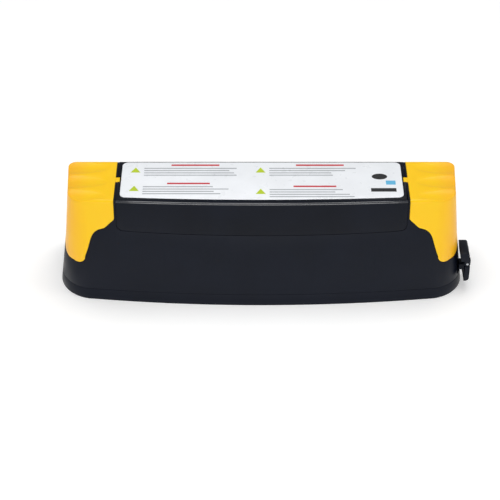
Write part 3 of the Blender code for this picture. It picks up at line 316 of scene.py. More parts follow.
# ---------------------------------------------------------------- mesh making
def add_mesh(name, mesh):
    """Link a mesh as an object."""
    obj = bpy.data.objects.new(name, mesh)
    bpy.context.scene.collection.objects.link(obj)
    return obj


def from_bmesh(name, bm):
    """Turn a closed bmesh into an object with its faces outward."""
    bmesh.ops.recalc_face_normals(bm, faces=bm.faces)
    mesh = bpy.data.meshes.new(name)
    bm.to_mesh(mesh)
    bm.free()
    return add_mesh(name, mesh)


def evaluated_mesh(obj):
    """Plain mesh of an object as its modifiers make it, in world space."""
    bpy.context.view_layer.update()
    ready = obj.evaluated_get(bpy.context.evaluated_depsgraph_get())
    mesh = bpy.data.meshes.new_from_object(ready)
    mesh.transform(obj.matrix_world)
    return mesh


def apply_all(obj):
    """Bake an object's modifiers and place into its mesh."""
    mesh = evaluated_mesh(obj)
    obj.modifiers.clear()
    obj.data = mesh
    obj.matrix_world = Matrix.Identity(4)
    return obj


def loft(name, rings):
    """Closed solid through rings of equal count."""
    bm = bmesh.new()
    rows = [[bm.verts.new(Vector(p) * MM) for p in ring] for ring in rings]
    count = len(rows[0])
    for lower, upper in zip(rows, rows[1:]):
        for i in range(count):
            j = (i + 1) % count
            bm.faces.new((lower[i], lower[j], upper[j], upper[i]))
    bm.faces.new(list(reversed(rows[0])))
    bm.faces.new(rows[-1])
    bmesh.ops.triangulate(bm, faces=bm.faces)
    return from_bmesh(name, bm)


PLANE_TURN = {
    "XY": Matrix.Identity(4),
    "XZ": Matrix(((1, 0, 0, 0), (0, 0, -1, 0), (0, 1, 0, 0), (0, 0, 0, 1))),
    "YZ": Matrix(((0, 0, 1, 0), (1, 0, 0, 0), (0, 1, 0, 0), (0, 0, 0, 1))),
}


def prism(name, outlines, plane, low, high):
    """Flat outline, with any further outlines as holes, extruded from low to high."""
    data = bpy.data.curves.new(name, "CURVE")
    data.dimensions = "2D"
    data.fill_mode = "BOTH"
    data.extrude = (high - low) / 2 * MM
    for outline in outlines:
        spline = data.splines.new("POLY")
        spline.points.add(len(outline) - 1)
        for point, (u, v) in zip(spline.points, outline):
            point.co = (u * MM, v * MM, 0.0, 1.0)
        spline.use_cyclic_u = True
    curve = bpy.data.objects.new(name, data)
    bpy.context.scene.collection.objects.link(curve)
    middle = (low + high) / 2 * MM * (-1 if plane == "XZ" else 1)
    curve.matrix_world = PLANE_TURN[plane] @ Matrix.Translation((0, 0, middle))
    mesh = evaluated_mesh(curve)
    bpy.data.objects.remove(curve, do_unlink=True)
    bm = bmesh.new()
    bm.from_mesh(mesh)
    bmesh.ops.remove_doubles(bm, verts=bm.verts, dist=0.000005)
    return from_bmesh(name, bm)


def block(name, low, high, round_mm=0.0):
    """Box between two corners, with its edges rounded."""
    bm = bmesh.new()
    size = [(b - a) * MM for a, b in zip(low, high)]
    middle = [(a + b) / 2 * MM for a, b in zip(low, high)]
    bmesh.ops.create_cube(bm, size=1.0, matrix=Matrix.Translation(middle) @ Matrix.Diagonal((*size, 1.0)))
    if round_mm:
        bmesh.ops.bevel(bm, geom=bm.edges, offset=round_mm * MM, segments=3, profile=0.5, affect="EDGES")
    return from_bmesh(name, bm)


AXIS_TURN = {
    "X": Matrix.Rotation(math.radians(90), 4, "Y"),
    "Y": Matrix.Rotation(math.radians(-90), 4, "X"),
    "Z": Matrix.Identity(4),
}


def turned(name, profile, start, axis="Z", sides=64):
    """Turned solid from (radius, height) points that begin and end on the axis."""
    bm = bmesh.new()
    rings = []
    for radius, height in profile:
        if radius == 0.0:
            rings.append([bm.verts.new((0.0, 0.0, height * MM))])
        else:
            ring = [(x * MM, y * MM, height * MM) for x, y in circle((0, 0), radius, sides)]
            rings.append([bm.verts.new(point) for point in ring])
    for low, high in zip(rings, rings[1:]):
        for i in range(sides):
            j = (i + 1) % sides
            corners = [low[i % len(low)], low[j % len(low)], high[j % len(high)], high[i % len(high)]]
            bm.faces.new(list(dict.fromkeys(corners)))
    bm.transform(Matrix.Translation(Vector(start) * MM) @ AXIS_TURN[axis])
    return from_bmesh(name, bm)


def rod(name, start, axis, radius, length, sides=64):
    """Plain cylinder."""
    return turned(name, [(0.0, 0.0), (radius, 0.0), (radius, length), (0.0, length)], start, axis, sides)


def merged(name, pieces):
    """Put several solids in one object."""
    bm = bmesh.new()
    for piece in pieces:
        bm.from_mesh(piece.data)
        bpy.data.objects.remove(piece, do_unlink=True)
    mesh = bpy.data.meshes.new(name)
    bm.to_mesh(mesh)
    bm.free()
    return add_mesh(name, mesh)


def combine(obj, other, operation="DIFFERENCE", solver="EXACT"):
    """Boolean with a helper, which is used up."""
    modifier = obj.modifiers.new("combine", "BOOLEAN")
    modifier.operation = operation
    modifier.solver = solver
    modifier.object = other
    apply_all(obj)
    bpy.data.objects.remove(other, do_unlink=True)
    return obj


def rounded(obj, radius, angle=32.0):
    """Weld and clean a piece, then round its hard edges."""
    bm = bmesh.new()
    bm.from_mesh(obj.data)
    bmesh.ops.remove_doubles(bm, verts=bm.verts, dist=0.00001)
    bmesh.ops.dissolve_limit(bm, angle_limit=math.radians(0.4), verts=bm.verts, edges=bm.edges)
    bmesh.ops.dissolve_degenerate(bm, edges=bm.edges, dist=0.00001)
    bm.to_mesh(obj.data)
    bm.free()
    if radius > 0.0:
        bevel = obj.modifiers.new("edges", "BEVEL")
        bevel.width = radius
        bevel.segments = 2
        bevel.limit_method = "ANGLE"
        bevel.angle_limit = math.radians(angle)
        apply_all(obj)
    return obj


def finish_piece(obj, body, material, replaced=(), angle=35.0):
    """Shade a piece, give it its material, and tie it to its body."""
    if material:
        obj.data.materials.clear()
        obj.data.materials.append(material)
    obj.data.shade_smooth()
    obj.data.set_sharp_from_angle(angle=math.radians(angle))
    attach(obj, body)
    if replaced:
        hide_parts(*replaced)
    return obj


# ---------------------------------------------------------------- materials
def add_node(tree, kind, links=None, values=None, **settings):
    """Add a shader node: its settings, the values on its inputs, and what is linked to them."""
    made = tree.nodes.new(kind)
    for key, value in settings.items():
        setattr(made, key, value)
    for key, value in (values or {}).items():
        made.inputs[key].default_value = value
    for key, socket in (links or {}).items():
        tree.links.new(socket, made.inputs[key])
    return made


def new_material(name, roughness, metallic=0.0, ior=None):
    """A material with its shader's plain values set."""
    mat = bpy.data.materials.new(name)
    mat.use_nodes = True
    shader = mat.node_tree.nodes["Principled BSDF"]
    shader.inputs["Roughness"].default_value = roughness
    shader.inputs["Metallic"].default_value = metallic
    if ior:
        shader.inputs["IOR"].default_value = ior
    return mat, mat.node_tree, shader


def speckle(tree, size_mm, stretch=(1.0, 1.0, 1.0), detail=3.0):
    """Noise with features of a real size, drawn out along an axis by its stretch."""
    place = add_node(tree, "ShaderNodeTexCoord")
    turn = add_node(tree, "ShaderNodeMapping", {"Vector": place.outputs["Object"]},
                    {"Scale": tuple(1.0 / s for s in stretch)})
    return add_node(tree, "ShaderNodeTexNoise", {"Vector": turn.outputs["Vector"]},
                    {"Scale": 1.0 / (size_mm * MM), "Detail": detail})


def mix_colours(tree, shader, noise, first, second, low=0.35, high=0.65):
    """Blend two colours by a noise, between two of its levels."""
    ramp = add_node(tree, "ShaderNodeValToRGB", {"Fac": noise.outputs["Fac"]})
    ramp.color_ramp.elements[0].position = low
    ramp.color_ramp.elements[0].color = (*first, 1.0)
    ramp.color_ramp.elements[1].position = high
    ramp.color_ramp.elements[1].color = (*second, 1.0)
    tree.links.new(ramp.outputs["Color"], shader.inputs["Base Color"])
    return ramp


def vary_roughness(tree, shader, noise, low, high):
    """Roughness that follows a noise."""
    spread = add_node(tree, "ShaderNodeMapRange", {"Value": noise.outputs["Fac"]},
                      {"From Min": 0.3, "From Max": 0.7, "To Min": low, "To Max": high})
    tree.links.new(spread.outputs["Result"], shader.inputs["Roughness"])


def raise_grain(tree, shader, noise, height_mm, strength=1.0):
    """Bump from a noise, as high as the real grain."""
    bump = add_node(tree, "ShaderNodeBump", {"Height": noise.outputs["Fac"]},
                    {"Strength": strength, "Distance": height_mm * MM})
    tree.links.new(bump.outputs["Normal"], shader.inputs["Normal"])


def darker(colour, share):
    """A colour scaled down."""
    return tuple(c * share for c in colour)


def surface(name, roughness, shades, patches, spread=None, grain=None, metallic=0.0, ior=None, specular=None,
            levels=(0.35, 0.65)):
    """A finish from patches of two shades, a spread of roughness and a grain with its height in mm."""
    mat, tree, shader = new_material(name, roughness, metallic, ior)
    if specular is not None:
        shader.inputs["Specular IOR Level"].default_value = specular
    mix_colours(tree, shader, speckle(tree, **patches), *shades, *levels)
    if spread:
        pattern, low, high = spread
        vary_roughness(tree, shader, speckle(tree, **pattern), low, high)
    if grain:
        pattern, height = grain
        raise_grain(tree, shader, speckle(tree, **pattern), height)
    return mat


def abs_black(colour):
    """Black ABS, satin: a spark-eroded mould leaves a fine grain, and handling leaves soft smears."""
    # the real grain is near 0.15 mm, too fine to show, so it is drawn at 0.6 mm
    return surface("ABS black satin moulded", 0.36, (darker(colour, 0.85), colour), {"size_mm": 45.0},
                   ({"size_mm": 18.0, "detail": 5.0}, 0.30, 0.44), ({"size_mm": 0.6}, 0.012), ior=1.53,
                   specular=0.13)


def abs_black_gloss(colour):
    """Black ABS from a polished mould: near mirror gloss, faint long waves."""
    return surface("ABS black polished moulded", 0.14, (darker(colour, 0.6), darker(colour, 0.9)),
                   {"size_mm": 60.0}, ({"size_mm": 25.0}, 0.12, 0.20),
                   ({"size_mm": 14.0, "detail": 1.0}, 0.02), ior=1.53, specular=0.13)


def abs_black_edge(colour):
    """Black ABS burnished by hands and shoes: the shoulder shines in a thin bright line."""
    mat = surface("ABS black burnished edge", 0.2, (darker(colour, 0.9), colour), {"size_mm": 10.0},
                  ({"size_mm": 4.0}, 0.16, 0.3), ior=1.6)
    shader = mat.node_tree.nodes["Principled BSDF"]
    shader.inputs["Coat Weight"].default_value = 1.0
    shader.inputs["Coat Roughness"].default_value = 0.12
    return mat


def abs_yellow(colour, painted_end_shade):
    """Yellow ABS, satin: light enters a little way, and the caps' outer ends get a painted shade blended in.
    """
    mat, tree, shader = new_material("ABS yellow satin moulded", 0.38, ior=1.53)
    shader.inputs["Specular IOR Level"].default_value = 0.3
    shader.inputs["Subsurface Weight"].default_value = 0.12
    shader.inputs["Subsurface Radius"].default_value = (0.9, 0.5, 0.1)
    shader.inputs["Subsurface Scale"].default_value = 0.0015
    # painted shade: from 178 mm out along X the yellow is blended towards a darker, warmer amber, more so
    # further out, varied by a cloud noise
    place = add_node(tree, "ShaderNodeTexCoord")
    axes = add_node(tree, "ShaderNodeSeparateXYZ", {"Vector": place.outputs["Object"]})
    out = add_node(tree, "ShaderNodeMath", {0: axes.outputs["X"]}, operation="ABSOLUTE")
    share = add_node(tree, "ShaderNodeMapRange", {"Value": out.outputs["Value"]},
                     {"From Min": 0.178, "From Max": 0.206, "To Min": 0.0, "To Max": 0.8})
    cloud = speckle(tree, 30.0)
    end_shade_amount = add_node(tree, "ShaderNodeMath", {0: cloud.outputs["Fac"], 1: share.outputs["Result"]},
                    operation="MULTIPLY_ADD")
    tree.links.new(share.outputs["Result"], end_shade_amount.inputs[2])
    ramp = add_node(tree, "ShaderNodeValToRGB", {"Fac": end_shade_amount.outputs["Value"]})
    ramp.color_ramp.elements[0].color = (*colour, 1.0)
    ramp.color_ramp.elements[1].color = (*painted_end_shade, 1.0)
    tree.links.new(ramp.outputs["Color"], shader.inputs["Base Color"])
    vary_roughness(tree, shader, speckle(tree, 12.0, detail=5.0), 0.32, 0.46)
    raise_grain(tree, shader, speckle(tree, 0.6), 0.010)
    return mat


def printed_film(name, colour, roughness=0.3):
    """Polyester film or the ink on it: smooth, with slight waves from the glue under it."""
    return surface(name, roughness, (darker(colour, 0.95), colour), {"size_mm": 25.0},
                   ({"size_mm": 9.0}, roughness - 0.05, roughness + 0.08),
                   ({"size_mm": 7.0, "detail": 1.0}, 0.006), ior=1.55)


def moulded_plastic(name, code, roughness):
    """Plain moulded plastic with a fine eroded grain."""
    colour = linear(code)
    return surface(name, roughness, (darker(colour, 0.85), colour), {"size_mm": 20.0},
                   ({"size_mm": 8.0}, roughness - 0.07, roughness + 0.08), ({"size_mm": 0.7}, 0.015), ior=1.5)


def zinc_steel():
    """Steel sheet with bright zinc: cloudy patches and faint rolling lines."""
    rolled = (30.0, 1.0, 1.0)
    return surface("zinc plated steel", 0.32, (linear("#B4B7BC"), linear("#C4C7CC")),
                   {"size_mm": 6.0, "detail": 4.0}, ({"size_mm": 0.8, "stretch": rolled}, 0.24, 0.42),
                   ({"size_mm": 0.5, "stretch": rolled}, 0.004), metallic=1.0)


def machined_steel():
    """Gear steel: hobbed flanks with fine tool lines and a film of oil in the roots."""
    hobbed = (12.0, 1.0, 1.0)
    return surface("machined gear steel", 0.28, (linear("#7D7F84"), linear("#A6A8AE")),
                   {"size_mm": 4.0, "detail": 5.0}, ({"size_mm": 0.6, "stretch": hobbed}, 0.2, 0.4),
                   ({"size_mm": 0.4, "stretch": hobbed}, 0.006), metallic=1.0)


def black_oxide():
    """Black oxide on steel: dark, oily, worn a little lighter in patches."""
    return surface("black oxide steel", 0.36, (linear("#1A1B1D"), linear("#3A3B3F")),
                   {"size_mm": 5.0, "detail": 6.0}, ({"size_mm": 2.0}, 0.3, 0.5), ({"size_mm": 0.5}, 0.006),
                   metallic=0.85, levels=(0.4, 0.75))


def sintered_bronze():
    """Sintered bronze: a matt, slightly pitted surface."""
    return surface("sintered bronze", 0.5, (linear("#8C6236"), linear("#B98A4E")), {"size_mm": 0.8},
                   grain=({"size_mm": 0.4}, 0.03), metallic=1.0)


def cast_aluminium():
    """Die-cast aluminium: soft grey with a sandy skin."""
    return surface("die cast aluminium", 0.45, (linear("#9DA0A5"), linear("#BDC0C4")), {"size_mm": 9.0},
                   ({"size_mm": 3.0}, 0.38, 0.55), ({"size_mm": 0.5}, 0.02), metallic=1.0)


def moulded_rubber():
    """Black rubber: deep matt with a little bloom."""
    return surface("moulded rubber", 0.85, (linear("#151516"), linear("#222326")), {"size_mm": 3.0},
                   grain=({"size_mm": 0.5}, 0.03))


def solder_mask():
    """Green solder mask over glass laminate: glossy, with the weave just showing."""
    return surface("green solder mask", 0.25, (linear("#0E4A26"), linear("#14602F")),
                   {"size_mm": 1.2, "detail": 1.0},
                   grain=({"size_mm": 0.9, "stretch": (1.0, 4.0, 1.0)}, 0.01), ior=1.5)


def shrink_film():
    """Blue PVC shrink film, tight over the cells: glossy, faintly rippled."""
    return surface("blue shrink film", 0.22, (linear("#103C86"), linear("#1A52AB")), {"size_mm": 14.0},
                   grain=({"size_mm": 5.0, "stretch": (3.0, 1.0, 1.0)}, 0.15), ior=1.53)


# ---------------------------------------------------------------- shells of the lock
def envelope(name, heights, inset=0.0):
    """Solid through plan outlines at several heights."""
    return loft(name, [plan(z, inset) for z in heights])


def screw_bosses(hollow, low, high):
    """Leave a boss round each shell screw when a hollow is cut."""
    blocks = []
    for x, y in SHELL_SCREWS:
        near, far = sorted((y - math.copysign(TAB / 2, y), math.copysign(BASE_DEPTH, y)))
        blocks.append(block("boss", (x - TAB / 2, near, low), (x + TAB / 2, far, high)))
    combine(hollow, merged("bosses", blocks))


def base_tray():
    """Base plate with its rim, floor and screw holes."""
    tray = envelope("base_tray", (0.0, RIM_HEIGHT))
    inside = envelope("inside", (FLOOR, RIM_HEIGHT + 5.0), WALL)
    screw_bosses(inside, FLOOR - 1.0, RIM_HEIGHT + 10.0)
    combine(tray, inside)
    sleeve = highest("anchor_sleeve_1").x - ANCHORS[0][0] - SLEEVE_FLANGE
    holes = [rod("hole", (x, y, -5.0), "Z", sleeve + GAP, FLOOR + 10.0) for x, y in ANCHORS]
    sink = SCREW_HEAD + 0.4
    shoulder = HEAD_DEPTH + 0.5
    profile = [(0.0, -5.0), (sink, -5.0), (sink, shoulder), (SCREW_HOLE, shoulder), (SCREW_HOLE, 20.0),
               (0.0, 20.0)]
    holes += [turned("hole", profile, (x, y, 0.0), sides=32) for x, y in SHELL_SCREWS]
    return combine(tray, merged("holes", holes))


def end_prism(side, level, back, grow=0.0):
    """Part of the end above or below the rising line where cap and shell meet, out to a level."""
    rise = [(-25.0, LOBE_Z + 0.4), (-19.0, LOBE_Z + 3.0), (-11.0, LOBE_Z + 9.5), (-4.0, END_RIM_Z - 4.0),
            (2.0, END_RIM_Z - 1.0), (10.0, END_RIM_Z)]
    line = [(-BASE_DEPTH * 1.1, LOBE_Z + 0.2)] + smooth_curve(rise, 4) + [(back, END_RIM_Z)]
    zone = [(-BASE_DEPTH * 1.1, level)] + [(y, z - grow) for y, z in line] + [(back, level)]
    low, high = sorted((side * END_ZONE_X, side * BASE_LENGTH * 1.1))
    return prism("end_zone", [zone], "YZ", low, high)


def housing():
    """Black shell: bowed front, flared ends, rear wall and a horn beside each cap."""
    shell = envelope("housing", (SHELL_LOW, END_RIM_Z, HEIGHT - 0.5))
    inside = envelope("inside", (SHELL_LOW - 5.0, END_RIM_Z, HEIGHT + 5.0), WALL)
    screw_bosses(inside, SHELL_LOW - 6.0, SHELL_LOW + TAB)
    combine(shell, inside)
    flap_rear = HINGE_Y - 1.0 + SPLIT
    combine(shell, prism("cover_region", [cover_outline(SPLIT, STRIP_X)], "XZ", -BASE_DEPTH, flap_rear))
    for side in (1, -1):
        outline = cap_outline(side, SPLIT, END_ZONE_X + 1.0)
        combine(shell, prism("cap_region", [outline], "XZ", -BASE_DEPTH, flap_rear))
        combine(shell, end_prism(side, HEIGHT + 30.0, flap_rear + 0.3, SPLIT), solver="MANIFOLD")
    wall_top = HINGE_Z - 4.0
    above = block("above_rear_wall", (-FAR, flap_rear - 5.0, wall_top), (FAR, BASE_DEPTH, HEIGHT + 20))
    combine(shell, above)
    combine(shell, rod("hinge_room", (-FAR, HINGE_Y, HINGE_Z), "X", HINGE_RADIUS + 0.7, 2 * FAR, 96))
    holes = [rod("hole", (x, y, 0.0), "Z", SCREW_HOLE, SHELL_LOW + TAB - 2.0, 32) for x, y in SHELL_SCREWS]
    combine(shell, merged("holes", holes))
    middle = (lowest("charge_socket").y + highest("charge_socket").y) / 2
    port_low = (BASE_LENGTH / 2 - OVER, middle - PORT_HOLE_HALF, PORT_HOLE_Z[0])
    port_high = (BASE_LENGTH / 2 + OVER, middle + PORT_HOLE_HALF, PORT_HOLE_Z[1])
    return combine(shell, block("port_opening", port_low, port_high))


def cover_section(x, shoulder):
    """Section of the centre cover at a place along its length."""
    bottom = COVER_LOWER_Z - 2.0
    face = front_y(HEIGHT, x)
    lean = front_y(bottom, x)
    centre = (HINGE_Y, HINGE_Z)
    section = [(lean, bottom)] + arc((face + shoulder - 0.3, HEIGHT - shoulder), shoulder, 170, 90, 8)
    section += arc(centre, HINGE_RADIUS, 90, -150, 36)
    section += arc(centre, SHAFT_RADIUS + SHAFT_FIT, -150, 110, 36)
    under = HEIGHT - WALL
    section += [(HINGE_Y - 6.0, under), (face + WALL + 0.8, under), (face + WALL, under - 1.5),
                (lean + WALL, bottom)]
    return [(x, y, z) for y, z in section]


def cover(shoulder):
    """Centre cover: bowed front, rolled rear edge, recess for the label."""
    steps = 40
    stations = [COVER_HALF * (2 * i / steps - 1) for i in range(steps + 1)]
    body = loft("cover", [cover_section(x, shoulder) for x in stations])
    # the exact solver leaves open edges on this body, so its cuts use the manifold one
    outline = prism("outline", [cover_outline()], "XZ", -BASE_DEPTH, BASE_DEPTH)
    combine(body, outline, "INTERSECT", "MANIFOLD")
    recess = prism("recess", [label_outline(0.4)], "XY", HEIGHT - LABEL_RECESS, HEIGHT + 5)
    combine(body, recess, solver="MANIFOLD")
    for side in (1, -1):
        near, far = sorted((side * (TONGUE_X - 0.5), side * (COVER_HALF + 5)))
        notch = block("notch", (near, TONGUE_Y[0] - 0.6, HEIGHT - 10), (far, TONGUE_Y[1] + 0.6, HEIGHT + 10))
        combine(body, notch, solver="MANIFOLD")
    low, high = lowest("sector_gear").x - 1.0, highest("sector_gear").x + 1.0
    room = SECTOR_HUB + 0.4
    slot = [(HINGE_Y - 16.0, HINGE_Z - 14.0), (HINGE_Y + room, HINGE_Z - 14.0)]
    slot += arc((HINGE_Y, HINGE_Z), room, 0, 120, 24)
    slot += [(HINGE_Y - 16.0, HINGE_Z + 4.0)]
    return combine(body, prism("slot", [slot], "YZ", low, high), solver="MANIFOLD")


def cap_levels():
    """Heights at which the cap's plan is drawn, close together over its roundings."""
    roll = [HINGE_Z + HINGE_RADIUS * math.sin(math.radians(a)) for a in range(0, 90, 10)]
    brow = [HEIGHT - TOP_ROUND * (1.0 - math.sin(math.radians(a))) for a in range(0, 91, 15)]
    return [LOBE_Z - 10.6, END_RIM_Z] + sorted(set(roll + brow))


def brow_tuck(z):
    """How far the top rounding has come in at a height."""
    lift = max(z - (HEIGHT - TOP_ROUND), 0.0)
    return TOP_ROUND - math.sqrt(max(TOP_ROUND ** 2 - lift ** 2, 0.0))


def terrace_hollows(side, count, depth, pitch):
    """Long shallow scoops across the cap's top, deepest at its outer end."""
    scoops = []
    reach, width, crown = 62.0, 15.0, 6.0
    for i in range(count):
        bm = bmesh.new()
        bmesh.ops.create_uvsphere(bm, u_segments=96, v_segments=96, radius=1.0)
        middle = (side * (TOP_HALF + 4.0), 28.0 - i * pitch, HEIGHT + crown - depth)
        stretch = Matrix.Diagonal((reach * MM, width * MM, crown * MM, 1.0))
        bm.transform(Matrix.Translation(Vector(middle) * MM) @ stretch)
        scoops.append(from_bmesh("hollow", bm))
    return scoops


def end_cap(name, side, sizes):
    """Yellow cap: a hollow shell with a rolled rear edge, a tongue, a lobed skirt and a terraced top."""
    levels = cap_levels()
    shell = loft(name, [plan(z, back=flap_back(z), round_in=brow_tuck(z)) for z in levels])
    inner = [(LOBE_Z - 17.6, 0.0), (END_RIM_Z, 0.0), (HEIGHT - WALL - 2.0, 0.0), (HEIGHT - WALL, 2.0)]
    hollow = loft("hollow", [plan(z, WALL, HINGE_Y + HINGE_RADIUS, t) for z, t in inner])
    centre = (HINGE_Y, HINGE_Z)
    low, high = sorted((side * (CAP_INNER - OVER), side * (TOP_HALF + OVER)))
    combine(hollow, prism("barrel", [circle(centre, HINGE_RADIUS, 96)], "YZ", low, high))
    combine(shell, hollow)
    rear = HINGE_Y - 1.0
    room = [(rear, 0.0), (BASE_DEPTH, 0.0), (BASE_DEPTH, HINGE_Z)] + arc(centre, HINGE_RADIUS, 0, -90, 24)
    room += [(rear, HINGE_Z - HINGE_RADIUS)]
    combine(shell, prism("rear_room", [room], "YZ", -BASE_LENGTH, BASE_LENGTH))
    blind = TOP_HALF - WALL
    combine(shell, rod("bore", (-blind, HINGE_Y, HINGE_Z), "X", SHAFT_RADIUS + SHAFT_FIT, 2 * blind))
    combine(shell, prism("region", [cap_outline(side)], "XZ", -BASE_DEPTH, BASE_DEPTH), "INTERSECT")
    combine(shell, end_prism(side, 0.0, BASE_DEPTH), solver="MANIFOLD")
    for scoop in terrace_hollows(side, sizes.terraces, sizes.terrace_depth / MM, sizes.terrace_pitch / MM):
        combine(shell, scoop)
    low, high = sorted((side * TONGUE_X, side * (CAP_INNER + 4.0)))
    tongue = block("tongue", (low, TONGUE_Y[0], HEIGHT - WALL - 0.6), (high, TONGUE_Y[1], HEIGHT - 0.4), 0.5)
    return combine(shell, tongue, "UNION")


# ---------------------------------------------------------------- repeated pieces
def group_tree(name, inputs):
    """An empty geometry group with its named inputs."""
    tree = bpy.data.node_groups.new(name, "GeometryNodeTree")
    for label, kind in inputs:
        tree.interface.new_socket(name=label, in_out="INPUT", socket_type=kind)
    tree.interface.new_socket(name="Geometry", in_out="OUTPUT", socket_type="NodeSocketGeometry")
    return tree, add_node(tree, "NodeGroupInput")


def finish_tree(tree, given, instances):
    """Close a group: plain mesh, then its material."""
    real = add_node(tree, "GeometryNodeRealizeInstances", {"Geometry": instances})
    coat = add_node(tree, "GeometryNodeSetMaterial", {"Geometry": real.outputs["Geometry"],
                                                      "Material": given.outputs["Material"]})
    add_node(tree, "NodeGroupOutput", {"Geometry": coat.outputs["Geometry"]})
    return tree


def bars_tree():
    """Rows of printed bars of uneven length, all starting at the left."""
    tree, given = group_tree("printed bars", [
        ("Rows", "NodeSocketInt"), ("Length", "NodeSocketFloat"), ("Bar", "NodeSocketFloat"),
        ("Pitch", "NodeSocketFloat"), ("Ink", "NodeSocketFloat"), ("Shortest", "NodeSocketFloat"),
        ("Seed", "NodeSocketInt"), ("Material", "NodeSocketMaterial")])
    step = add_node(tree, "ShaderNodeMath", {0: given.outputs["Pitch"]}, {1: -1.0}, operation="MULTIPLY")
    offset = add_node(tree, "ShaderNodeCombineXYZ", {"Y": step.outputs["Value"]})
    line = add_node(tree, "GeometryNodeMeshLine", {"Count": given.outputs["Rows"],
                                                   "Offset": offset.outputs["Vector"]})
    size = add_node(tree, "ShaderNodeCombineXYZ", {"X": given.outputs["Length"], "Y": given.outputs["Bar"],
                                                   "Z": given.outputs["Ink"]})
    bar = add_node(tree, "GeometryNodeMeshCube", {"Size": size.outputs["Vector"]})
    half = add_node(tree, "ShaderNodeVectorMath", {0: size.outputs["Vector"]}, {1: (0.5, 0.0, 0.5)},
                    operation="MULTIPLY")
    moved = add_node(tree, "GeometryNodeTransform", {"Geometry": bar.outputs["Mesh"],
                                                     "Translation": half.outputs["Vector"]})
    # the plain-number sockets of this node are the third input and the second output
    share = add_node(tree, "FunctionNodeRandomValue", {2: given.outputs["Shortest"],
                                                       "Seed": given.outputs["Seed"]}, data_type="FLOAT")
    scale = add_node(tree, "ShaderNodeCombineXYZ", {"X": share.outputs[1]}, {"Y": 1.0, "Z": 1.0})
    placed = add_node(tree, "GeometryNodeInstanceOnPoints", {
        "Points": line.outputs["Mesh"], "Instance": moved.outputs["Geometry"],
        "Scale": scale.outputs["Vector"]})
    return finish_tree(tree, given, placed.outputs["Instances"])


def copies_tree():
    """A copy of one shape at every point of a mesh."""
    tree, given = group_tree("copies", [("Geometry", "NodeSocketGeometry"), ("Shape", "NodeSocketObject"),
                                        ("Material", "NodeSocketMaterial")])
    shape = add_node(tree, "GeometryNodeObjectInfo", {"Object": given.outputs["Shape"]})
    placed = add_node(tree, "GeometryNodeInstanceOnPoints", {"Points": given.outputs["Geometry"],
                                                             "Instance": shape.outputs["Geometry"]})
    return finish_tree(tree, given, placed.outputs["Instances"])


def grown(name, tree, points, values):
    """Plain object made by a geometry group on a set of points."""
    seedbed = bpy.data.meshes.new(name)
    seedbed.from_pydata([Vector(p) * MM for p in points], [], [])
    obj = add_mesh(name, seedbed)
    modifier = obj.modifiers.new("grow", "NODES")
    modifier.node_group = tree
    for item in tree.interface.items_tree:
        if item.in_out == "INPUT" and item.name in values:
            modifier[item.identifier] = values[item.name]
    return coated(apply_all(obj), values["Material"])


def joined(name, pieces):
    """Put several coloured solids in one object and keep each one's material."""
    bm = bmesh.new()
    materials = []
    for piece in pieces:
        start = len(bm.faces)
        bm.from_mesh(piece.data)
        coat = piece.data.materials[0]
        if coat not in materials:
            materials.append(coat)
        bm.faces.ensure_lookup_table()
        for face in bm.faces[start:]:
            face.material_index = materials.index(coat)
        bpy.data.objects.remove(piece, do_unlink=True)
    mesh = bpy.data.meshes.new(name)
    for coat in materials:
        mesh.materials.append(coat)
    bm.to_mesh(mesh)
    bm.free()
    return add_mesh(name, mesh)


def coated(obj, material):
    """Give a helper its one material."""
    obj.data.materials.clear()
    obj.data.materials.append(material)
    return obj


# ---------------------------------------------------------------- operators
class LOCK_OT_base(bpy.types.Operator):
    """Make the base plate with its rim"""
    bl_idname = "lock.base"
    bl_label = "Base"

    def execute(self, context):
        sizes, colours = context.scene.lock_sizes, context.scene.lock_colours
        tray = rounded(base_tray(), sizes.edge_round)
        finish_piece(tray, "base", abs_black(colours.black), ["base_plate"])
        return {"FINISHED"}


class LOCK_OT_housing(bpy.types.Operator):
    """Make the black housing"""
    bl_idname = "lock.housing"
    bl_label = "Housing"

    def execute(self, context):
        sizes, colours = context.scene.lock_sizes, context.scene.lock_colours
        shell = rounded(housing(), sizes.edge_round)
        finish_piece(shell, "base", abs_black(colours.black), ["lower_shell"])
        return {"FINISHED"}


class LOCK_OT_caps(bpy.types.Operator):
    """Make the two yellow end caps"""
    bl_idname = "lock.caps"
    bl_label = "End caps"

    def execute(self, context):
        sizes, colours = context.scene.lock_sizes, context.scene.lock_colours
        # the second colour is the painted shade on the caps' outer ends
        plastic = abs_yellow(colours.yellow, colours.painted_end_shade)
        for side, word in ((-1, "left"), (1, "right")):
            cap = rounded(end_cap(f"end_cap_{word}", side, sizes), sizes.edge_round)
            finish_piece(cap, "barrier_flap", plastic, [f"cap_{word}"])
        return {"FINISHED"}


class LOCK_OT_cover(bpy.types.Operator):
    """Make the black cover between the caps"""
    bl_idname = "lock.cover"
    bl_label = "Centre cover"

    def execute(self, context):
        sizes, colours = context.scene.lock_sizes, context.scene.lock_colours
        piece = rounded(cover(sizes.shoulder / MM), sizes.edge_round / 2)
        finish_piece(piece, "barrier_flap", abs_black_gloss(colours.black), ["centre_cover"])
        piece.data.materials.append(abs_black_edge(colours.black))
        shoulder_low = (HEIGHT * MM) - sizes.shoulder - 0.0002
        for face in piece.data.polygons:
            if face.center.z > shoulder_low and face.normal.y < -0.25 and face.normal.z > 0.2:
                face.material_index = 1
        return {"FINISHED"}


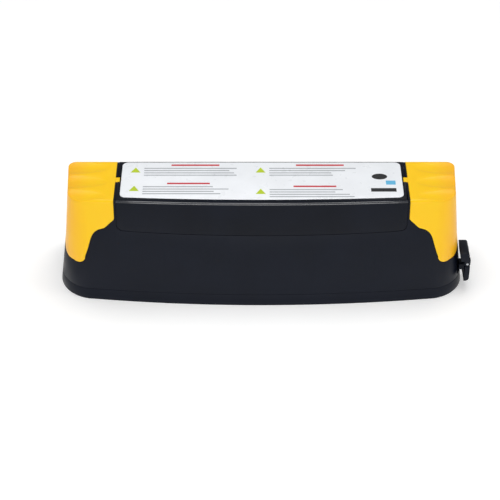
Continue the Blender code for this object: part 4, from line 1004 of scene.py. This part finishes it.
class LOCK_OT_label(bpy.types.Operator):
    """Make the label with plain printed marks"""
    bl_idname = "lock.label"
    bl_label = "Label"

    def execute(self, context):
        sizes, colours = context.scene.lock_sizes, context.scene.lock_colours
        film = printed_film("white polyester label", colours.label)
        low, top = lowest("label_plate").z, highest("label_plate").z
        plate = rounded(prism("label", [label_outline()], "XY", low, top), 0.0001)
        finish_piece(plate, "barrier_flap", film, ["label_plate"])
        red = printed_film("red ink", colours.red)
        grey = printed_film("grey ink", colours.grey)
        lime = printed_film("lime ink", colours.lime)
        blue = printed_film("blue ink", colours.blue)
        black = printed_film("black ink", linear("#15161A"))
        tree = bars_tree()
        ink = sizes.ink
        marks = []

        def bars(x, y, rows, length, bar, pitch, shortest, seed, coat):
            made = grown("bars", tree, [], {
                "Rows": rows, "Length": length * MM, "Bar": bar * MM, "Pitch": pitch * MM, "Ink": ink,
                "Shortest": shortest, "Seed": seed, "Material": coat})
            made.data.transform(Matrix.Translation(Vector((x, y, top)) * MM))
            marks.append(made)

        # left end and top of each block, its widest line, and its seed
        blocks = [(-122.0, 33.0, 100.0, 3), (-122.0, 1.0, 88.0, 5), (8.0, 33.0, 100.0, 7),
                  (8.0, -4.0, 88.0, 11)]
        heading_height, line_height, row_pitch, sign_radius = 2.6, 1.5, 4.0, 6.0
        for x, y, length, seed in blocks:
            bars(x + 0.28 * length, y, 1, length * 0.5, heading_height, row_pitch, 1.0, seed, red)
            bars(x, y - 5.6, sizes.print_rows, length, line_height, row_pitch, 0.62, seed, grey)
            centre = (x - 9.0, y - 10.0)
            corners = [polar(centre, sign_radius, turn) for turn in (90, 210, 330)]
            sign = prism("sign", [corners], "XY", top, top + ink / MM)
            marks.append(coated(sign, lime))
        oval = [(122.0 + 8.0 * u, 13.0 + 5.0 * v) for u, v in circle((0, 0), 1.0, 48)]
        marks.append(coated(prism("oval", [oval], "XY", top, top + ink / MM), black))
        marks.append(coated(block("square", (128.0, -1.0, top), (138.0, 6.0, top + ink / MM)), blue))
        marks.append(coated(block("bar", (112.0, -13.0, top), (138.0, -7.0, top + ink / MM)), black))
        print_layer = joined("label_print", marks)
        finish_piece(print_layer, "barrier_flap", None)
        return {"FINISHED"}


class LOCK_OT_port(bpy.types.Operator):
    """Make the charging port's hinge block and its flip-up cover"""
    bl_idname = "lock.port"
    bl_label = "Charging port"

    def execute(self, context):
        sizes, colours = context.scene.lock_sizes, context.scene.lock_colours
        plastic = abs_black(colours.black)
        low, high = lowest("port_hinge_block"), highest("port_hinge_block")
        cover_low, cover_high = lowest("charge_port_cover"), highest("charge_port_cover")
        knuckle = PORT_KNUCKLE
        pivot = (high.x - knuckle + 0.001, cover_high.z - knuckle)
        above = pivot[1] + knuckle + 0.6
        out = pivot[0] + knuckle
        outline = [(half_length(above) + GAP, above), (out - 1.5, above), (out - 1.5, high.z - 3.0)]
        outline += arc((out - 4.5, high.z - 3.0), 3.0, 10, 90, 6) + [(half_length(high.z) + GAP, high.z)]
        hinge = prism("port_block", [outline], "XZ", low.y, high.y)
        middle = (low.y + high.y) / 2
        tab = PORT_TAB_HALF
        for near, far in ((low.y, middle - tab - GAP), (middle + tab + GAP, high.y)):
            lug = arc(pivot, knuckle, 180, 360, 24) + [(out, above + 2.0), (out - 2 * knuckle, above + 2.0)]
            combine(hinge, prism("lug", [lug], "XZ", near, far), "UNION")
        hole = ((pivot[0], low.y - 5.0, pivot[1]), "Y", PORT_PIN_HOLE, high.y - low.y + 10.0, 32)
        combine(hinge, rod("pin_hole", *hole))
        finish_piece(rounded(hinge, sizes.edge_round), "base", plastic, ["port_hinge_block"])

        top = pivot[1] - knuckle - 0.7
        inner = pivot[0] - knuckle + 0.7
        plate = [(inner, cover_low.z), (out - 3.2, cover_low.z)]
        plate += arc((out - 4.0, cover_low.z + 4.0), 4.0, -60, 0, 6) + [(out, top), (inner, top)]
        door = prism("port_cover", [plate], "XZ", cover_low.y, cover_high.y)
        ear = arc(pivot, knuckle, 0, 180, 24) + [(out - 2 * knuckle, top - 2.0), (out, top - 2.0)]
        combine(door, prism("knuckle", [ear], "XZ", middle - tab, middle + tab), "UNION")
        plug = block("plug", (inner - PLUG_HALF, middle - PLUG_HALF, PLUG_Z[0]),
                     (inner + 1.0, middle + PLUG_HALF, PLUG_Z[1]), 0.6)
        combine(door, plug, "UNION")
        combine(door, rod("pin_hole", *hole))
        finish_piece(rounded(door, sizes.edge_round), "port_cover", plastic,
                     ["charge_port_cover"])
        return {"FINISHED"}


class LOCK_OT_screws(bpy.types.Operator):
    """Make the screws of the shell, with their cross recesses"""
    bl_idname = "lock.screws"
    bl_label = "Shell screws"

    def execute(self, context):
        nodes = [f"shell_screw_{i}" for i in range(1, 5)]
        low, high = lowest(nodes[0]), highest(nodes[0])
        radius = (high.x - low.x) / 2
        top = high.z
        shank, pitch = 2.0, 0.8
        thread_low = HEAD_DEPTH + 0.5
        profile = [(0.0, low.z), (radius - 1.2, low.z), (radius - 0.4, low.z + 0.25), (radius, low.z + 0.8),
                   (radius, HEAD_DEPTH), (shank, HEAD_DEPTH)]
        turns = int((top - 1.5 - HEAD_DEPTH - 0.5) / pitch)
        for i in range(turns):
            start = thread_low + pitch * i
            profile += [(shank - 0.3, start), (shank, start + pitch / 2)]
        profile += [(shank - 0.8, top), (0.0, top)]
        screw = turned("screw", profile, (0.0, 0.0, 0.0), sides=48)
        for width, length in ((0.9, 3.6), (3.6, 0.9)):
            corner = (width / 2, length / 2, low.z + 1.4)
            combine(screw, block("cross", (-width / 2, -length / 2, -1.0), corner))
        centres = [(lowest(n) + highest(n)) / 2 for n in nodes]
        places = [(c.x, c.y, 0.0) for c in centres]
        made = grown("shell_screws", copies_tree(), places, {"Shape": screw, "Material": zinc_steel()})
        bpy.data.objects.remove(screw, do_unlink=True)
        finish_piece(made, "base", None, nodes)
        return {"FINISHED"}


class LOCK_OT_inside(bpy.types.Operator):
    """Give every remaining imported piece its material"""
    bl_idname = "lock.inside"
    bl_label = "Inner pieces"

    def execute(self, context):
        colours = context.scene.lock_colours
        coats = {
            "black_plastic": abs_black(colours.black),
            "zinc_plated_steel": zinc_steel(),
            "black_oxide_steel": black_oxide(),
            "gear_steel": machined_steel(),
            "sintered_bronze": sintered_bronze(),
            "cast_aluminium": cast_aluminium(),
            "black_rubber": moulded_rubber(),
            "circuit_board": solder_mask(),
            "battery_film": shrink_film(),
            # moulded in grey glass-filled nylon: dull, with a drier skin than the outer shells
            "grey_plastic": moulded_plastic("grey nylon moulded", "#6E7378", 0.55),
            # soft PVC on the leads: even red sheen
            "lead_insulation": moulded_plastic("red PVC lead", "#8E1F1F", 0.4),
        }
        for entry in frame["record"]["subparts"]:
            piece = bpy.data.objects.get(entry["node"])
            if piece is None or piece.type != "MESH" or entry["material_slot"] not in coats:
                continue
            piece.data.materials.clear()
            piece.data.materials.append(coats[entry["material_slot"]])
        return {"FINISHED"}


class LOCK_OT_stage(bpy.types.Operator):
    """Set up the pale floor, the soft light and the camera"""
    bl_idname = "lock.stage"
    bl_label = "Stage"

    def execute(self, context):
        stage = context.scene.lock_stage
        bm = bmesh.new()
        bmesh.ops.create_grid(bm, x_segments=1, y_segments=1, size=6.0)
        mesh = bpy.data.meshes.new("floor")
        bm.to_mesh(mesh)
        bm.free()
        floor = add_mesh("floor", mesh)
        # matt white paper sweep: even and bright, only soft shadows show on it
        paper, tree, shader = new_material("white paper sweep", 0.9)
        mix_colours(tree, shader, speckle(tree, 200.0), linear("#F4F4F4"), linear("#FAFAFA"))
        shader.inputs["Emission Color"].default_value = (1.0, 1.0, 1.0, 1.0)
        shader.inputs["Emission Strength"].default_value = 0.22
        floor.data.materials.append(paper)
        world = bpy.data.worlds.new("studio")
        world.use_nodes = True
        backdrop = world.node_tree.nodes["Background"]
        backdrop.inputs["Color"].default_value = (1.0, 1.0, 1.0, 1.0)
        backdrop.inputs["Strength"].default_value = 0.42
        context.scene.world = world
        context.scene.view_settings.view_transform = "Standard"
        # name, place, point lit, width, height, power
        panels = [("overhead softbox", (0.0, 0.25, 1.3), (0.0, 0.0, 0.0), 1.2, 0.7, stage.key_power),
                  ("left panel", (-1.2, -0.3, 0.6), (0.0, 0.0, 0.05), 0.5, 0.7, stage.fill_power),
                  ("right panel", (1.2, -0.3, 0.6), (0.0, 0.0, 0.05), 0.5, 0.7, stage.fill_power),
                  ("front panel", (0.0, -1.7, 0.55), (0.0, 0.0, 0.05), 1.4, 0.5, stage.front_power)]
        for name, place, aim, width, height, power in panels:
            data = bpy.data.lights.new(name, "AREA")
            data.shape = "RECTANGLE"
            data.size, data.size_y = width, height
            data.energy = power
            lamp = bpy.data.objects.new(name, data)
            context.scene.collection.objects.link(lamp)
            lamp.location = place
            lamp.rotation_euler = (Vector(aim) - Vector(place)).to_track_quat("-Z", "Y").to_euler()
        data = bpy.data.cameras.new("camera")
        data.lens = stage.lens
        camera = bpy.data.objects.new("camera", data)
        context.scene.collection.objects.link(camera)
        aim = Vector((-0.012, 0.008, 0.024))
        camera.location = aim + stage.distance * Vector((0.0, -math.cos(stage.pitch), math.sin(stage.pitch)))
        camera.rotation_euler = (math.pi / 2 - stage.pitch, 0.0, 0.0)
        context.scene.camera = camera
        return {"FINISHED"}


OPERATORS = (LOCK_OT_base, LOCK_OT_housing, LOCK_OT_caps, LOCK_OT_cover, LOCK_OT_label, LOCK_OT_port,
             LOCK_OT_screws, LOCK_OT_inside, LOCK_OT_stage)


class LOCK_PT_panel(bpy.types.Panel):
    """Sidebar panel with the sizes, the colours and a button for each piece"""
    bl_idname = "LOCK_PT_panel"
    bl_label = "Parking lock"
    bl_space_type = "VIEW_3D"
    bl_region_type = "UI"
    bl_category = "Parking lock"

    def draw(self, context):
        for group in (context.scene.lock_sizes, context.scene.lock_colours, context.scene.lock_stage):
            for key in group.bl_rna.properties.keys():
                if key not in {"rna_type", "name"}:
                    self.layout.prop(group, key)
        for operator in OPERATORS:
            self.layout.operator(operator.bl_idname)


CLASSES = (LockSizes, LockColours, LockStage) + OPERATORS + (LOCK_PT_panel,)


def register():
    """Register the classes and their settings."""
    for item in CLASSES:
        bpy.utils.register_class(item)
    bpy.types.Scene.lock_sizes = PointerProperty(type=LockSizes)
    bpy.types.Scene.lock_colours = PointerProperty(type=LockColours)
    bpy.types.Scene.lock_stage = PointerProperty(type=LockStage)


def unregister():
    """Take the classes and their settings away again."""
    del bpy.types.Scene.lock_stage
    del bpy.types.Scene.lock_colours
    del bpy.types.Scene.lock_sizes
    for item in reversed(CLASSES):
        bpy.utils.unregister_class(item)


def main():
    """Make every piece and the stage."""
    register()
    bpy.ops.lock.base()
    bpy.ops.lock.housing()
    bpy.ops.lock.caps()
    bpy.ops.lock.cover()
    bpy.ops.lock.label()
    bpy.ops.lock.port()
    bpy.ops.lock.screws()
    bpy.ops.lock.inside()
    bpy.ops.lock.stage()


if __name__ == "__main__":
    main()
